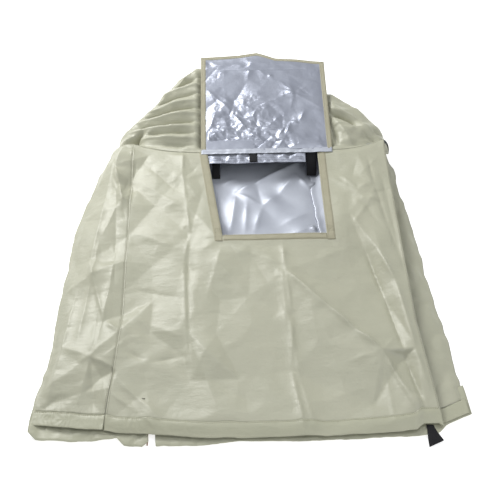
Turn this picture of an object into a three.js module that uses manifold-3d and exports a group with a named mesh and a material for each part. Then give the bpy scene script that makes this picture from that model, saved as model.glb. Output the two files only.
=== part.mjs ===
// A box-shaped fabric weather cover with a window in its front, lying collapsed on its back.
//
// Millimetres, +Z up, +X to the right, +Y from the open hem towards the closed top. The back
// panel lies on the ground, the front panel slopes over it, the left side panel is spread
// outwards, the right side panel is tucked in as a gusset, and the top panel lies beyond the top
// seam as a heap that is hollow and open towards the hem. The window flap is thrown back over
// that heap. Lengths along Y are counted from the front panel's hem edge.
import * as THREE from 'three';
import * as BufferGeometryUtils from 'three/addons/utils/BufferGeometryUtils.js';
import Module from 'manifold-3d';

const wasm = await Module();
wasm.setup();

// ---- Driving dimensions ----------------------------------------------------------------------

// Panels
const COVER_WIDTH = 620; // front and back panels, seam to seam
const COVER_HEIGHT = 722; // front panel, hem edge to the top seam at mid width
const CORNER_RISE = 32; // how much further the top seam lies at the two top corners
const CLOTH = 2; // one layer of panel
const GAP = 0.3; // clearance between sewn neighbours

// Hem tunnel and its elastic
const HEM_DEPTH = 30;
const HEM_THICKNESS = 3;
const TUNNEL_DEPTH = 22;
const TUNNEL_HEIGHT = 1.4;
const ELASTIC_WIDTH = 19;
const ELASTIC_THICKNESS = 0.8;
const ELASTIC_END = 3; // how far each elastic stops inside its tunnel's mouth

// How the front panel lies
const HEM_LIFT = 4 * HEM_THICKNESS; // underside above the ground, at the hem, over the folded hems
const SEAM_LIFT = 50; // the same at the top seam
const HEM_FLARE = 20; // extra half width at the hem
const FLARE_RUN = 230; // length over which the flare runs out

// How the back panel lies: pushed to the right, and out past the front hem
const BACK_SHIFT_AT_HEM = 80;
const BACK_SHIFT_AT_TOP = 20;
const BACK_DROP = 22;

// How the left side panel lies: spread outwards, with one inner pleat
const LEFT_DROP = 10; // how far its hem lies past the front hem
const SPREAD_AT_HEM = 168; // from the front seam to the outer fold
const SPREAD_AT_TOP = 58;
const LEFT_FOLD_AT_HEM = 8; // height of the outer fold
const LEFT_FOLD_AT_TOP = 30;
const PLEAT_AT_HEM = 14;
const PLEAT_AT_TOP = 175;
const LAP = 3; // how far a side panel laps over the back panel's edge
const LAP_RUN = 10;
const BACK_NOTCH = 13; // slit between the left side hem and the back hem

// How the right side panel lies: tucked in under the front panel
const TUCK_AT_HEM = 150;
const TUCK_AT_TOP = 180;
const TUCK_DROP = 1.6; // how far below the front panel's underside the tuck starts

// Heap of the top panel beyond the top seam
const HEAP_LENGTH = 340;
const HEAP_CREST = 285;
const HEAP_SHOULDER = 0.2; // share of the width over which the heap rises to its full height
const CREST_WALL = 33; // length of the steep stretch behind the crest
const CREST_WALL_DROP = 10;
const HEAP_END_DROP = 52;

// Window in the front panel
const WINDOW_HEIGHT = 261;
const WINDOW_RIGHT = 142;
const WINDOW_TOP_WIDTH = 271;
const WINDOW_BOTTOM_WIDTH = 236;
const WINDOW_TAPE = 20;
const SILL_TAPE = 17;
const TAPE_THICKNESS = 2.8;

// Strip that hangs from the top seam across the head of the window
const HEADER_DEPTH = 33;
const HEADER_DROP = 2;

// Window flap
const FLAP_WIDTH = 324;
const FLAP_LENGTH = 305;
const FLAP_CENTRE = 18;
const FLAP_TAPE = 13;
const FLAP_END_BINDING = 10;
const FLAP_ROOT = 3; // from the fold line to the flap's cloth
const FLAP_REST_SLOPE = 9; // degrees above the level
const FOLD_CLEARANCE = 0.4; // between the closed flap's tapes and the window's tapes
const FLAP_SEAT = 0.4; // between the open flap and the crest of the heap

// Webbing straps, each turning about a line just behind its heel
const WEBBING = 1.6;
const STRAP_HEEL = 0.8;
const TIE_WIDTH = 20;
const TIE_LENGTH = 30;
const TIE_CENTRE = -16;
const TIE_STANDOFF = 1; // from the header's edge to the tie strap's fold line
const INNER_STRAP_LENGTH = 60;
const INNER_STRAP_HANG = 40; // degrees below the level
const LEFT_STRAP_WIDTH = 20;
const LEFT_STRAP_INSET = 11;
const RIGHT_STRAP_WIDTH = 25;
const RIGHT_STRAP_INSET = 2.5;
const STRAP_STANDOFF = 1.4; // from the top seam to an inner strap's fold line
const TAB_WIDTH = 25;
const TAB_LENGTH = 44;
const TAB_THICKNESS = 2.5;
const TAB_INSET = 23; // from the hem's right end to the middle of the tab
const TAB_DROOP = 5; // degrees below the level
const TAB_STANDOFF = 2.2;
const TAB_HEEL = 1.4;

// ---- Lines that follow from them -------------------------------------------------------------

const HALF_WIDTH = COVER_WIDTH / 2;
const CORNER_Y = COVER_HEIGHT + CORNER_RISE;
const SILL_Y = COVER_HEIGHT - WINDOW_HEIGHT;
const HEADER_Y = COVER_HEIGHT - HEADER_DEPTH;
const WINDOW_LEFT_TOP = WINDOW_RIGHT - WINDOW_TOP_WIDTH;
const WINDOW_LEFT_BOTTOM = WINDOW_RIGHT - WINDOW_BOTTOM_WIDTH;
const SEAM_FLAT = FLAP_WIDTH / 2 + 6; // half length of the level middle of the top seam
const LAYER_LOW = CLOTH * 1.5 + GAP; // middle of the first layer above the back panel
const LAYER_MID = LAYER_LOW + CLOTH + GAP; // middle of the second layer
const HEM_LOW = HEM_THICKNESS * 1.5 + GAP;
const HEM_MID = HEM_LOW + HEM_THICKNESS + GAP;
const TAPE_PROUD = (TAPE_THICKNESS - CLOTH) / 2; // how far a tape stands out of its cloth
const SEAM_TOP = SEAM_LIFT + CLOTH;
const FOLD_Z = SEAM_TOP + TAPE_PROUD + FOLD_CLEARANCE + TAPE_THICKNESS / 2;

// [length from the hem, distance from the front seam out to the left outer fold]
const LEFT_SPREAD = [
  [0, SPREAD_AT_HEM],
  [200, SPREAD_AT_HEM - 23],
  [CORNER_Y - 254, SPREAD_AT_TOP + 72],
  [CORNER_Y - 104, SPREAD_AT_TOP + 34],
  [CORNER_Y, SPREAD_AT_TOP],
];

// [length from the hem, height of the left outer fold]
const LEFT_FOLD = [
  [0, LEFT_FOLD_AT_HEM],
  [CORNER_Y - 194, LEFT_FOLD_AT_HEM + 4],
  [CORNER_Y, LEFT_FOLD_AT_TOP],
];

const MOUTH_LEFT = -HALF_WIDTH - SPREAD_AT_TOP;
const MOUTH_RIGHT = HALF_WIDTH + BACK_SHIFT_AT_TOP;

// [distance beyond the top seam, left inset, right inset, height of the folds at the sides]
const HEAP_STATIONS = [
  [0, 0, 0, LEFT_FOLD_AT_TOP],
  [70, 23, 12, 40],
  [130, 66, 53, 52],
  [190, 113, 130, 62],
  [240, 143, 158, 68],
  [HEAP_CREST, 178, 178, 70],
  [HEAP_CREST + CREST_WALL, 226, 205, 62],
  [HEAP_LENGTH, 258, 230, 30],
];

function mix(a, b, share) {
  return a + (b - a) * share;
}

// Straight-line interpolation in a list of [station, value] pairs, carried on past both ends
function along(pairs, station) {
  const later = pairs.findIndex(([at]) => at > station);
  const next = later < 0 ? pairs.length - 1 : Math.max(later, 1);
  const [from, low] = pairs[next - 1];
  const [to, high] = pairs[next];
  return mix(low, high, (station - from) / (to - from));
}

// Underside of the front panel
function frontZ(y) {
  return mix(HEM_LIFT, SEAM_LIFT, y / COVER_HEIGHT);
}

function frontHalf(y) {
  return HALF_WIDTH + HEM_FLARE * Math.max(0, 1 - y / FLARE_RUN);
}

function backShift(y) {
  return mix(BACK_SHIFT_AT_HEM, BACK_SHIFT_AT_TOP, y / CORNER_Y);
}

function windowLeft(y) {
  return mix(WINDOW_LEFT_BOTTOM, WINDOW_LEFT_TOP, (y - SILL_Y) / WINDOW_HEIGHT);
}

// The top seam is level behind the flap and runs up to both corners
function seamY(x) {
  const side = Math.sign(x - FLAP_CENTRE);
  const levelEnd = FLAP_CENTRE + side * SEAM_FLAT;
  const share = (x - levelEnd) / (side * HALF_WIDTH - levelEnd);
  return COVER_HEIGHT + CORNER_RISE * THREE.MathUtils.clamp(share, 0, 1) ** 2;
}

// Points along the top seam, left to right, shared by the front panel and the heap
function seamPoints() {
  const steps = 4;
  const left = [];
  const right = [];
  for (let i = 0; i <= steps; i += 1) {
    left.push(mix(-HALF_WIDTH, FLAP_CENTRE - SEAM_FLAT, i / steps));
    right.push(mix(FLAP_CENTRE + SEAM_FLAT, HALF_WIDTH, i / steps));
  }
  return left.concat(right);
}

// ---- Building blocks -------------------------------------------------------------------------

function sheet(points, thickness, lift) {
  const shape = new THREE.Shape(points.map(([x, y]) => new THREE.Vector2(x, y)));
  const geometry = new THREE.ExtrudeGeometry(shape, { depth: thickness, bevelEnabled: false });
  return geometry.translate(0, 0, lift);
}

// A sheet that follows the front panel's slope, `lift` above the panel's underside
function slopedSheet(points, thickness, lift) {
  const geometry = sheet(points, thickness, lift);
  const position = geometry.getAttribute('position');
  for (let i = 0; i < position.count; i += 1) {
    position.setZ(i, position.getZ(i) + frontZ(position.getY(i)));
  }
  return geometry;
}

function strip(left, right, low, high) {
  return [[left, low], [right, low], [right, high], [left, high]];
}

// A polyline in the XZ plane thickened to a closed outline, with mitred corners
function ribbon(line, thickness) {
  const points = line.map(([x, z]) => new THREE.Vector2(x, z));
  const sides = [[], []];
  points.forEach((point, i) => {
    const before = points[i - 1] ?? point.clone().multiplyScalar(2).sub(points[i + 1]);
    const after = points[i + 1] ?? point.clone().multiplyScalar(2).sub(before);
    const incoming = point.clone().sub(before).normalize();
    const outgoing = after.clone().sub(point).normalize();
    const normal = new THREE.Vector2(-incoming.y, incoming.x);
    const mitre = normal.clone().add(new THREE.Vector2(-outgoing.y, outgoing.x)).normalize();
    mitre.multiplyScalar(thickness / 2 / mitre.dot(normal));
    sides[0].push([point.x + mitre.x, point.y + mitre.y]);
    sides[1].push([point.x - mitre.x, point.y - mitre.y]);
  });
  return sides[0].concat(sides[1].reverse());
}

// Moves both ends of a polyline outwards by `length`, or inwards where it is negative
function lengthened(line, length) {
  const moved = line.map((point) => [...point]);
  [[0, 1], [line.length - 1, line.length - 2]].forEach(([end, next]) => {
    const tip = new THREE.Vector2(...line[end]);
    const direction = tip.clone().sub(new THREE.Vector2(...line[next])).normalize();
    moved[end] = tip.addScaledVector(direction, length).toArray();
  });
  return moved;
}

// An XZ outline set at one Y, counter-clockwise when seen from the hem
function ringAt(section, y) {
  const contour = section.map(([x, z]) => new THREE.Vector2(x, z));
  const ordered = THREE.ShapeUtils.isClockWise(contour) ? contour.reverse() : contour;
  return ordered.map((point) => new THREE.Vector3(point.x, y, point.y));
}

// The far half of a ring is split along the other diagonals, so that the two faces of a ribbon
// match and its thickness holds where it twists
function skinFaces(ringCount, size, base) {
  const faces = [];
  for (let ring = 0; ring + 1 < ringCount; ring += 1) {
    for (let k = 0; k < size; k += 1) {
      const a = base + ring * size + k;
      const b = base + ring * size + ((k + 1) % size);
      if (k < size / 2) {
        faces.push([a, a + size, b + size], [a, b + size, b]);
      } else {
        faces.push([a, a + size, b], [b, a + size, b + size]);
      }
    }
  }
  return faces;
}

function capFaces(ring, base) {
  const contour = ring.map((point) => new THREE.Vector2(point.x, point.z));
  const faces = THREE.ShapeUtils.triangulateShape(contour, []);
  return faces.map((face) => face.map((corner) => corner + base));
}

function turned(faces) {
  return faces.map(([a, b, c]) => [a, c, b]);
}

function meshOf(rings, faces) {
  const geometry = new THREE.BufferGeometry();
  geometry.setFromPoints(rings.flat());
  geometry.setIndex(faces.flat());
  geometry.computeVertexNormals();
  return geometry;
}

// A solid through rings of equal size, closed at both ends
function loft(rings) {
  const size = rings[0].length;
  const last = rings.length - 1;
  const skin = skinFaces(rings.length, size, 0);
  const near = capFaces(rings[0], 0);
  const far = turned(capFaces(rings[last], last * size));
  return meshOf(rings, [...skin, ...near, ...far]);
}

// An outer and an inner skin of rings, joined round the mouth and each closed at its far end
function pocket(outer, inner) {
  const size = outer[0].length;
  const last = outer.length - 1;
  const base = outer.length * size;
  const rim = [];
  for (let k = 0; k < size; k += 1) {
    const next = (k + 1) % size;
    rim.push([k, next, base + next], [k, base + next, base + k]);
  }
  const outside = [...skinFaces(outer.length, size, 0), ...turned(capFaces(outer[last], last * size))];
  const inside = [...turned(skinFaces(inner.length, size, base)), ...capFaces(inner[last], base + last * size)];
  return meshOf([...outer, ...inner], [...outside, ...rim, ...inside]);
}

function solidOf(geometry) {
  const bare = geometry.clone();
  bare.deleteAttribute('normal');
  bare.deleteAttribute('uv');
  const merged = BufferGeometryUtils.mergeVertices(bare);
  const mesh = new wasm.Mesh({
    numProp: 3,
    vertProperties: new Float32Array(merged.getAttribute('position').array),
    triVerts: new Uint32Array(merged.getIndex().array),
  });
  return new wasm.Manifold(mesh);
}

function cut(geometry, tool) {
  const mesh = solidOf(geometry).subtract(solidOf(tool)).getMesh();
  const result = new THREE.BufferGeometry();
  result.setAttribute('position', new THREE.BufferAttribute(mesh.vertProperties, 3));
  result.setIndex(new THREE.BufferAttribute(mesh.triVerts, 1));
  result.computeVertexNormals();
  return result;
}

// ---- Materials and nodes ---------------------------------------------------------------------

const LOOKS = {
  cloth: { color: 0xbfc0aa, roughness: 0.5, metalness: 0 },
  hem: { color: 0xb9baa3, roughness: 0.55, metalness: 0 },
  lining: { color: 0xa6abb5, roughness: 0.3, metalness: 0.7 },
  tape: { color: 0xb5b19b, roughness: 0.8, metalness: 0 },
  webbing: { color: 0x17171a, roughness: 0.85, metalness: 0 },
  elastic: { color: 0xe4e2da, roughness: 0.9, metalness: 0 },
};

const cover = new THREE.Group();

function addPiece(parent, name, look, geometry) {
  const mesh = new THREE.Mesh(geometry, new THREE.MeshStandardMaterial(LOOKS[look]));
  mesh.name = name;
  parent.add(mesh);
}

// ---- Front panel, with the window cut out of its head ----------------------------------------

function addFrontPanel() {
  const low = HEM_DEPTH + GAP;
  const cutLow = SILL_Y - SILL_TAPE - GAP;
  const cutLeft = (y) => windowLeft(y) - WINDOW_TAPE - GAP;
  const cutRight = WINDOW_RIGHT + WINDOW_TAPE + GAP;
  const seam = seamPoints().map((x) => [x, seamY(x)]);
  const points = [
    [frontHalf(low), low],
    [HALF_WIDTH, FLARE_RUN],
    ...seam.filter(([x]) => x > cutRight).reverse(),
    [cutRight, COVER_HEIGHT],
    [cutRight, cutLow],
    [cutLeft(cutLow), cutLow],
    [cutLeft(COVER_HEIGHT), seamY(cutLeft(COVER_HEIGHT))],
    ...seam.filter(([x]) => x < cutLeft(COVER_HEIGHT)).reverse(),
    [-HALF_WIDTH, FLARE_RUN],
    [-frontHalf(low), low],
  ];
  addPiece(cover, 'front_panel', 'cloth', slopedSheet(points, CLOTH, 0));
}

function addWindowTapes() {
  const low = SILL_Y - SILL_TAPE;
  const left = [
    [windowLeft(low) - WINDOW_TAPE, low],
    [windowLeft(low), low],
    [windowLeft(COVER_HEIGHT), COVER_HEIGHT],
    [windowLeft(COVER_HEIGHT) - WINDOW_TAPE, seamY(windowLeft(COVER_HEIGHT) - WINDOW_TAPE)],
  ];
  const right = strip(WINDOW_RIGHT, WINDOW_RIGHT + WINDOW_TAPE, low, COVER_HEIGHT);
  const sill = [
    [windowLeft(low) + GAP, low],
    [WINDOW_RIGHT - GAP, low],
    [WINDOW_RIGHT - GAP, SILL_Y],
    [windowLeft(SILL_Y) + GAP, SILL_Y],
  ];
  addPiece(cover, 'window_left_tape', 'tape', slopedSheet(left, TAPE_THICKNESS, -TAPE_PROUD));
  addPiece(cover, 'window_right_tape', 'tape', slopedSheet(right, TAPE_THICKNESS, -TAPE_PROUD));
  addPiece(cover, 'window_sill_tape', 'tape', slopedSheet(sill, TAPE_THICKNESS, -TAPE_PROUD));
}

function addWindowHeader() {
  const right = WINDOW_RIGHT - RIGHT_STRAP_INSET * 2 - RIGHT_STRAP_WIDTH;
  const points = [
    [windowLeft(HEADER_Y) + GAP, HEADER_Y],
    [right, HEADER_Y],
    [right, COVER_HEIGHT - GAP],
    [windowLeft(COVER_HEIGHT) + GAP, COVER_HEIGHT - GAP],
  ];
  addPiece(cover, 'window_header', 'lining', slopedSheet(points, CLOTH, -HEADER_DROP));
}

// ---- Back panel ------------------------------------------------------------------------------

function backOutline(low, high) {
  return [
    [backShift(low) - HALF_WIDTH, low],
    [backShift(low) + HALF_WIDTH, low],
    [backShift(high) + HALF_WIDTH, high],
    [backShift(high) - HALF_WIDTH, high],
  ];
}

function addBackPanel() {
  const points = backOutline(HEM_DEPTH - BACK_DROP + GAP, CORNER_Y);
  addPiece(cover, 'back_panel', 'cloth', sheet(points, CLOTH, 0));
}

// ---- Side panels -----------------------------------------------------------------------------

// From the front seam out to the fold, back along the ground, and once in and out as a pleat
function leftPanelLine(y) {
  const fold = -HALF_WIDTH - along(LEFT_SPREAD, y) + CLOTH / 2;
  const backEdge = backShift(y) - HALF_WIDTH;
  const pleat = backEdge + mix(PLEAT_AT_HEM, PLEAT_AT_TOP, y / CORNER_Y);
  const seam = -frontHalf(y) - GAP;
  return [
    [seam, frontZ(y) + CLOTH / 2],
    [seam - CLOTH, frontZ(y) + CLOTH / 2],
    [fold, along(LEFT_FOLD, y)],
    [fold, CLOTH / 2],
    [backEdge - LAP_RUN, CLOTH / 2],
    [backEdge - LAP, LAYER_MID],
    [pleat, LAYER_MID],
    [pleat, LAYER_LOW],
    [backEdge + LAP, LAYER_LOW],
  ];
}

// From the front seam down and in to the tuck, then out along the back panel to its edge
function rightPanelLine(y) {
  const seam = frontHalf(y) + GAP + CLOTH / 2;
  const tuck = HALF_WIDTH - mix(TUCK_AT_HEM, TUCK_AT_TOP, y / CORNER_Y);
  return [
    [seam, frontZ(y) + CLOTH],
    [seam, frontZ(y) - TUCK_DROP],
    [tuck, LAYER_MID],
    [tuck, LAYER_LOW],
    [backShift(y) + HALF_WIDTH - LAP, LAYER_LOW],
  ];
}

// Rings stand wherever one of the panel's lines has a knee
function sidePanel(line, low) {
  const knees = [FLARE_RUN, ...LEFT_SPREAD.map(([y]) => y), ...LEFT_FOLD.map(([y]) => y)];
  const stations = [low, ...new Set(knees.filter((y) => y > low))].sort((a, b) => a - b);
  return loft(stations.map((y) => ringAt(ribbon(line(y), CLOTH), y)));
}

function addSidePanels() {
  const leftLow = HEM_DEPTH - LEFT_DROP + GAP;
  addPiece(cover, 'left_side_panel', 'cloth', sidePanel(leftPanelLine, leftLow));
  addPiece(cover, 'right_side_panel', 'cloth', sidePanel(rightPanelLine, HEM_DEPTH + GAP));
}

// ---- Hems: a tunnel along each panel's lower edge, with elastic inside ------------------------

// The flat hems of the front and back panels: `place` lays a strip out at a height about its middle
function addFlatHem(side, outline, place) {
  const xs = outline.map(([x]) => x);
  const ys = outline.map(([, y]) => y);
  const left = Math.min(...xs);
  const right = Math.max(...xs);
  const middle = (Math.min(...ys) + Math.max(...ys)) / 2;
  const across = (extra, depth) => strip(left - extra, right + extra, middle - depth / 2, middle + depth / 2);
  const tunnel = place(across(ELASTIC_END, TUNNEL_DEPTH), TUNNEL_HEIGHT);
  const elastic = place(across(-ELASTIC_END, ELASTIC_WIDTH), ELASTIC_THICKNESS);
  addPiece(cover, `${side}_hem`, 'hem', cut(place(outline, HEM_THICKNESS), tunnel));
  addPiece(cover, `${side}_hem_elastic`, 'elastic', elastic);
}

function addFrontHem() {
  const outline = [
    [-frontHalf(0), 0],
    [frontHalf(0), 0],
    [frontHalf(HEM_DEPTH), HEM_DEPTH],
    [-frontHalf(HEM_DEPTH), HEM_DEPTH],
  ];
  const place = (points, thickness) => slopedSheet(points, thickness, (CLOTH - thickness) / 2);
  addFlatHem('front', outline, place);
}

function addBackHem() {
  const outline = backOutline(-BACK_DROP, HEM_DEPTH - BACK_DROP);
  const place = (points, thickness) => sheet(points, thickness, (HEM_THICKNESS - thickness) / 2);
  addFlatHem('back', outline, place);
}

function leftHemLine(y) {
  const fold = -HALF_WIDTH - along(LEFT_SPREAD, y) + HEM_THICKNESS / 2;
  const seam = -frontHalf(y) - GAP;
  return [
    [seam, frontZ(y) + CLOTH / 2],
    [seam - HEM_THICKNESS - ELASTIC_END, frontZ(y) + CLOTH / 2],
    [fold, along(LEFT_FOLD, y)],
    [fold, HEM_THICKNESS / 2],
    [backShift(y) - HALF_WIDTH - BACK_NOTCH, HEM_THICKNESS / 2],
  ];
}

function rightHemLine(y) {
  const seam = frontHalf(y) + GAP + HEM_THICKNESS / 2;
  const underside = frontZ(y) + (CLOTH - HEM_THICKNESS) / 2;
  const tuck = HALF_WIDTH - TUCK_AT_HEM;
  return [
    [seam, underside + HEM_THICKNESS],
    [seam, underside - HEM_THICKNESS / 2 - GAP * 2],
    [tuck, HEM_MID],
    [tuck, HEM_LOW],
    [backShift(y) + HALF_WIDTH - LAP, HEM_LOW],
  ];
}

function addSideHem(side, line, low) {
  const middle = low + HEM_DEPTH / 2;
  const ends = (depth) => [middle - depth / 2, middle + depth / 2];
  const folded = (depth, extra, thickness) => loft(
    ends(depth).map((y) => ringAt(ribbon(lengthened(line(y), extra), thickness), y)),
  );
  const tunnel = folded(TUNNEL_DEPTH, ELASTIC_END, TUNNEL_HEIGHT);
  const elastic = folded(ELASTIC_WIDTH, -ELASTIC_END, ELASTIC_THICKNESS);
  addPiece(cover, `${side}_side_hem`, 'hem', cut(folded(HEM_DEPTH, 0, HEM_THICKNESS), tunnel));
  addPiece(cover, `${side}_side_elastic`, 'elastic', elastic);
}

// ---- Top panel: the heap beyond the top seam --------------------------------------------------

// Height of the open flap's underside at a distance beyond the fold line
function flapUnderside(beyond) {
  const slope = THREE.MathUtils.degToRad(FLAP_REST_SLOPE);
  return FOLD_Z + beyond * Math.tan(slope) - TAPE_THICKNESS / 2 / Math.cos(slope);
}

function heapHeight(beyond) {
  const crest = flapUnderside(HEAP_CREST) - FLAP_SEAT;
  const profile = [
    [0, SEAM_TOP],
    [HEAP_CREST, crest],
    [HEAP_CREST + CREST_WALL, crest - CREST_WALL_DROP],
    [HEAP_LENGTH, crest - HEAP_END_DROP],
  ];
  return along(profile, beyond);
}

// One ring round the heap, `inset` inside its outer face. The first ring meets the panels' ends.
function heapRing([beyond, insetLeft, insetRight, foldHeight], inset) {
  const left = MOUTH_LEFT + insetLeft + inset;
  const right = MOUTH_RIGHT - insetRight - inset;
  const farY = COVER_HEIGHT + HEAP_LENGTH - inset;
  const lay = (x, mouthY, z) => new THREE.Vector3(x, mix(mouthY, farY, beyond / HEAP_LENGTH), z);
  const top = [MOUTH_LEFT, ...seamPoints(), MOUTH_RIGHT].map((mouthX) => {
    const share = (mouthX - MOUTH_LEFT) / (MOUTH_RIGHT - MOUTH_LEFT);
    const shoulder = THREE.MathUtils.smoothstep(Math.min(share, 1 - share), 0, HEAP_SHOULDER);
    const onSeam = beyond === 0 && Math.abs(mouthX) <= HALF_WIDTH;
    const heaped = mix(foldHeight, heapHeight(beyond), shoulder);
    const z = onSeam ? frontZ(seamY(mouthX)) + CLOTH : heaped;
    return lay(mix(left, right, share), seamY(mouthX) + GAP, z - inset);
  });
  const bottom = [lay(left, CORNER_Y + GAP, inset), lay(right, CORNER_Y + GAP, inset)];
  return [...bottom, ...top.reverse()];
}

function addTopPanel() {
  const outer = HEAP_STATIONS.map((station) => heapRing(station, 0));
  const inner = HEAP_STATIONS.map((station) => heapRing(station, CLOTH));
  addPiece(cover, 'top_panel', 'cloth', pocket(outer, inner));
}

// ---- Window flap -----------------------------------------------------------------------------

// A group that turns about X at a fold line, for pieces that run along its +Y
function foldLine(x, y, z, degrees) {
  const group = new THREE.Group();
  group.position.set(x, y, z);
  group.rotation.x = THREE.MathUtils.degToRad(degrees);
  cover.add(group);
  return group;
}

function slab(left, right, low, high, thickness) {
  return sheet(strip(left, right, low, high), thickness, -thickness / 2);
}

function addFlap() {
  const fold = foldLine(FLAP_CENTRE, COVER_HEIGHT, FOLD_Z, FLAP_REST_SLOPE);
  const half = FLAP_WIDTH / 2;
  const cloth = half - FLAP_TAPE - GAP;
  const end = FLAP_LENGTH - FLAP_END_BINDING;
  const leftTape = slab(-half, FLAP_TAPE - half, FLAP_ROOT, end - GAP, TAPE_THICKNESS);
  const rightTape = slab(half - FLAP_TAPE, half, FLAP_ROOT, end - GAP, TAPE_THICKNESS);
  addPiece(fold, 'flap_panel', 'lining', slab(-cloth, cloth, FLAP_ROOT, end - GAP, CLOTH));
  addPiece(fold, 'flap_left_tape', 'tape', leftTape);
  addPiece(fold, 'flap_right_tape', 'tape', rightTape);
  addPiece(fold, 'flap_end_binding', 'tape', slab(-half, half, end, FLAP_LENGTH, TAPE_THICKNESS));
}

// ---- Webbing straps --------------------------------------------------------------------------

function addTieStrap() {
  const y = HEADER_Y - TIE_STANDOFF;
  const slope = THREE.MathUtils.radToDeg(Math.atan2(SEAM_LIFT - HEM_LIFT, COVER_HEIGHT));
  const z = frontZ(y) + CLOTH - HEADER_DROP + GAP + WEBBING / 2;
  const fold = foldLine(TIE_CENTRE, y, z, slope);
  const half = TIE_WIDTH / 2;
  addPiece(fold, 'centre_tie_strap', 'webbing', slab(-half, half, -STRAP_HEEL, TIE_LENGTH, WEBBING));
}

// Both hang from the top seam behind the window's head, the left one from behind the header
function addInnerStraps() {
  const corner = Math.hypot(STRAP_HEEL, WEBBING / 2);
  const leftX = WINDOW_LEFT_TOP + LEFT_STRAP_INSET + LEFT_STRAP_WIDTH / 2;
  const rightX = WINDOW_RIGHT - RIGHT_STRAP_INSET - RIGHT_STRAP_WIDTH / 2;
  const headerUnderside = SEAM_LIFT - HEADER_DROP;
  const places = [
    ['left', leftX, LEFT_STRAP_WIDTH / 2, headerUnderside - GAP - corner],
    ['right', rightX, RIGHT_STRAP_WIDTH / 2, SEAM_TOP - corner],
  ];
  places.forEach(([side, x, half, z]) => {
    const fold = foldLine(x, COVER_HEIGHT - STRAP_STANDOFF, z, INNER_STRAP_HANG - 180);
    const strap = slab(-half, half, -STRAP_HEEL, INNER_STRAP_LENGTH, WEBBING);
    addPiece(fold, `${side}_inner_strap`, 'webbing', strap);
  });
}

function addPullTab() {
  const fold = foldLine(frontHalf(0) - TAB_INSET, -TAB_STANDOFF, HEM_MID, TAB_DROOP - 180);
  const half = TAB_WIDTH / 2;
  addPiece(fold, 'hem_pull_tab', 'webbing', slab(-half, half, -TAB_HEEL, TAB_LENGTH, TAB_THICKNESS));
}

// ---- Assembly --------------------------------------------------------------------------------

addFrontPanel();
addWindowTapes();
addWindowHeader();
addBackPanel();
addSidePanels();
addFrontHem();
addBackHem();
addSideHem('left', leftHemLine, -LEFT_DROP);
addSideHem('right', rightHemLine, 0);
addTopPanel();
addFlap();
addTieStrap();
addInnerStraps();
addPullTab();

// The origin is the middle of the footprint, on the ground
cover.updateMatrixWorld(true);
const extent = new THREE.Box3().setFromObject(cover, true);
const middle = extent.getCenter(new THREE.Vector3());
cover.position.set(-middle.x, -middle.y, -extent.min.z);

export default cover;
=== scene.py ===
import functools
import math

import bmesh
import bpy
import numpy as np
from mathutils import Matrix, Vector
from mathutils.geometry import delaunay_2d_cdt


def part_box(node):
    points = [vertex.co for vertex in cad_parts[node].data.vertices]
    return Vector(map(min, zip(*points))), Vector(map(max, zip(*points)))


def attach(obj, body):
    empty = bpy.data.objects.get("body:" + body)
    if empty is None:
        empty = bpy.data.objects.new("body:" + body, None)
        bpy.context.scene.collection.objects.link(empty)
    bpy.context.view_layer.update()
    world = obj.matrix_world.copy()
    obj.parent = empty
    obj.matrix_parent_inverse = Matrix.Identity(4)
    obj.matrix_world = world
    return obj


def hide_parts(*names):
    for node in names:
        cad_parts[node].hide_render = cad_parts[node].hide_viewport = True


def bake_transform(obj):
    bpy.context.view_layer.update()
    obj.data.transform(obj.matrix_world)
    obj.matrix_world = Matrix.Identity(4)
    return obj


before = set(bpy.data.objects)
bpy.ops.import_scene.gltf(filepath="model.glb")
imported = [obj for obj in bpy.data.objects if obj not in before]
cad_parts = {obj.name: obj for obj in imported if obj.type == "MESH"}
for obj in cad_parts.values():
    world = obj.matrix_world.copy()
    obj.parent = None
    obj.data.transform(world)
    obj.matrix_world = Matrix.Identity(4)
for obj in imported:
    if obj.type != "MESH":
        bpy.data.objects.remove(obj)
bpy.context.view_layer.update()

# ---- Pattern sizes, in millimetres ---------------------------------------------------------------
# x runs from the front panel's centre line, y from its hem edge towards the top seam, z from the ground.

COVER_HEIGHT = 722  # hem edge to top seam, at the window
CORNER_Y = 754  # where the top seam ends at the shoulders
LEVEL_SEAM = 168  # half of the seam's straight stretch
HALF_WIDTH = 310
HEM_FLARE, FLARE_Y = 20, 230  # the hem is stretched wider than the panel, up to this line
HEM_LEVEL, SEAM_LEVEL = 13, 51  # the front cloth above the ground
BACK_SHIFT = (80, 20)  # how far the ground layer lies to the right, at the hem and at the shoulders
HEM_DEPTH = 30
BACK_DROP = 22  # how far a hem shows below the front's hem
LEFT_DROP = 10
GROUND_HEM = 46
BACK_NOTCH = 13
HEM_CLOTH = 0.5
ELASTIC_WIDTH = 19
LEFT_SPREAD = ((0, 168), (200, 145), (500, 130), (650, 92), (754, 58))  # y and how far the fold lies out
LEFT_FOLD = ((0, 8), (560, 12), (754, 30))  # y and the fold's height
MOUTH_LEFT, MOUTH_RIGHT = -368, 330
HEAP_LENGTH = 340
HEAP_CREST = 285
# Length beyond the seam, taper at the left and right, height of the folded edge
HEAP_OUTLINE = (
    (0, 0, 0, 30), (70, 23, 12, 40), (130, 66, 53, 52), (190, 113, 130, 62),
    (240, 143, 158, 68), (285, 178, 178, 70), (318, 226, 205, 62), (340, 258, 230, 30),
)
SILL_Y = 461
WINDOW_LEFT = (-94, -129)  # at the sill and at the seam
WINDOW_RIGHT = 142
TAPE_WIDTH = 20
SILL_TAPE = 17
HEADER_Y = 689
FLAP_CENTRE = 18
FLAP_HALF = 162
FLAP_LENGTH = 305
FLAP_TAPE = 13
FLAP_BINDING = 10
FOLD_Z = 54.2
FLAP_SLOPE = math.radians(9)
CLOSED_DIP = math.radians(1)
CLOTH = 0.7  # what the sewn nylon shows at its edges
BINDING = 2.4

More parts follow.
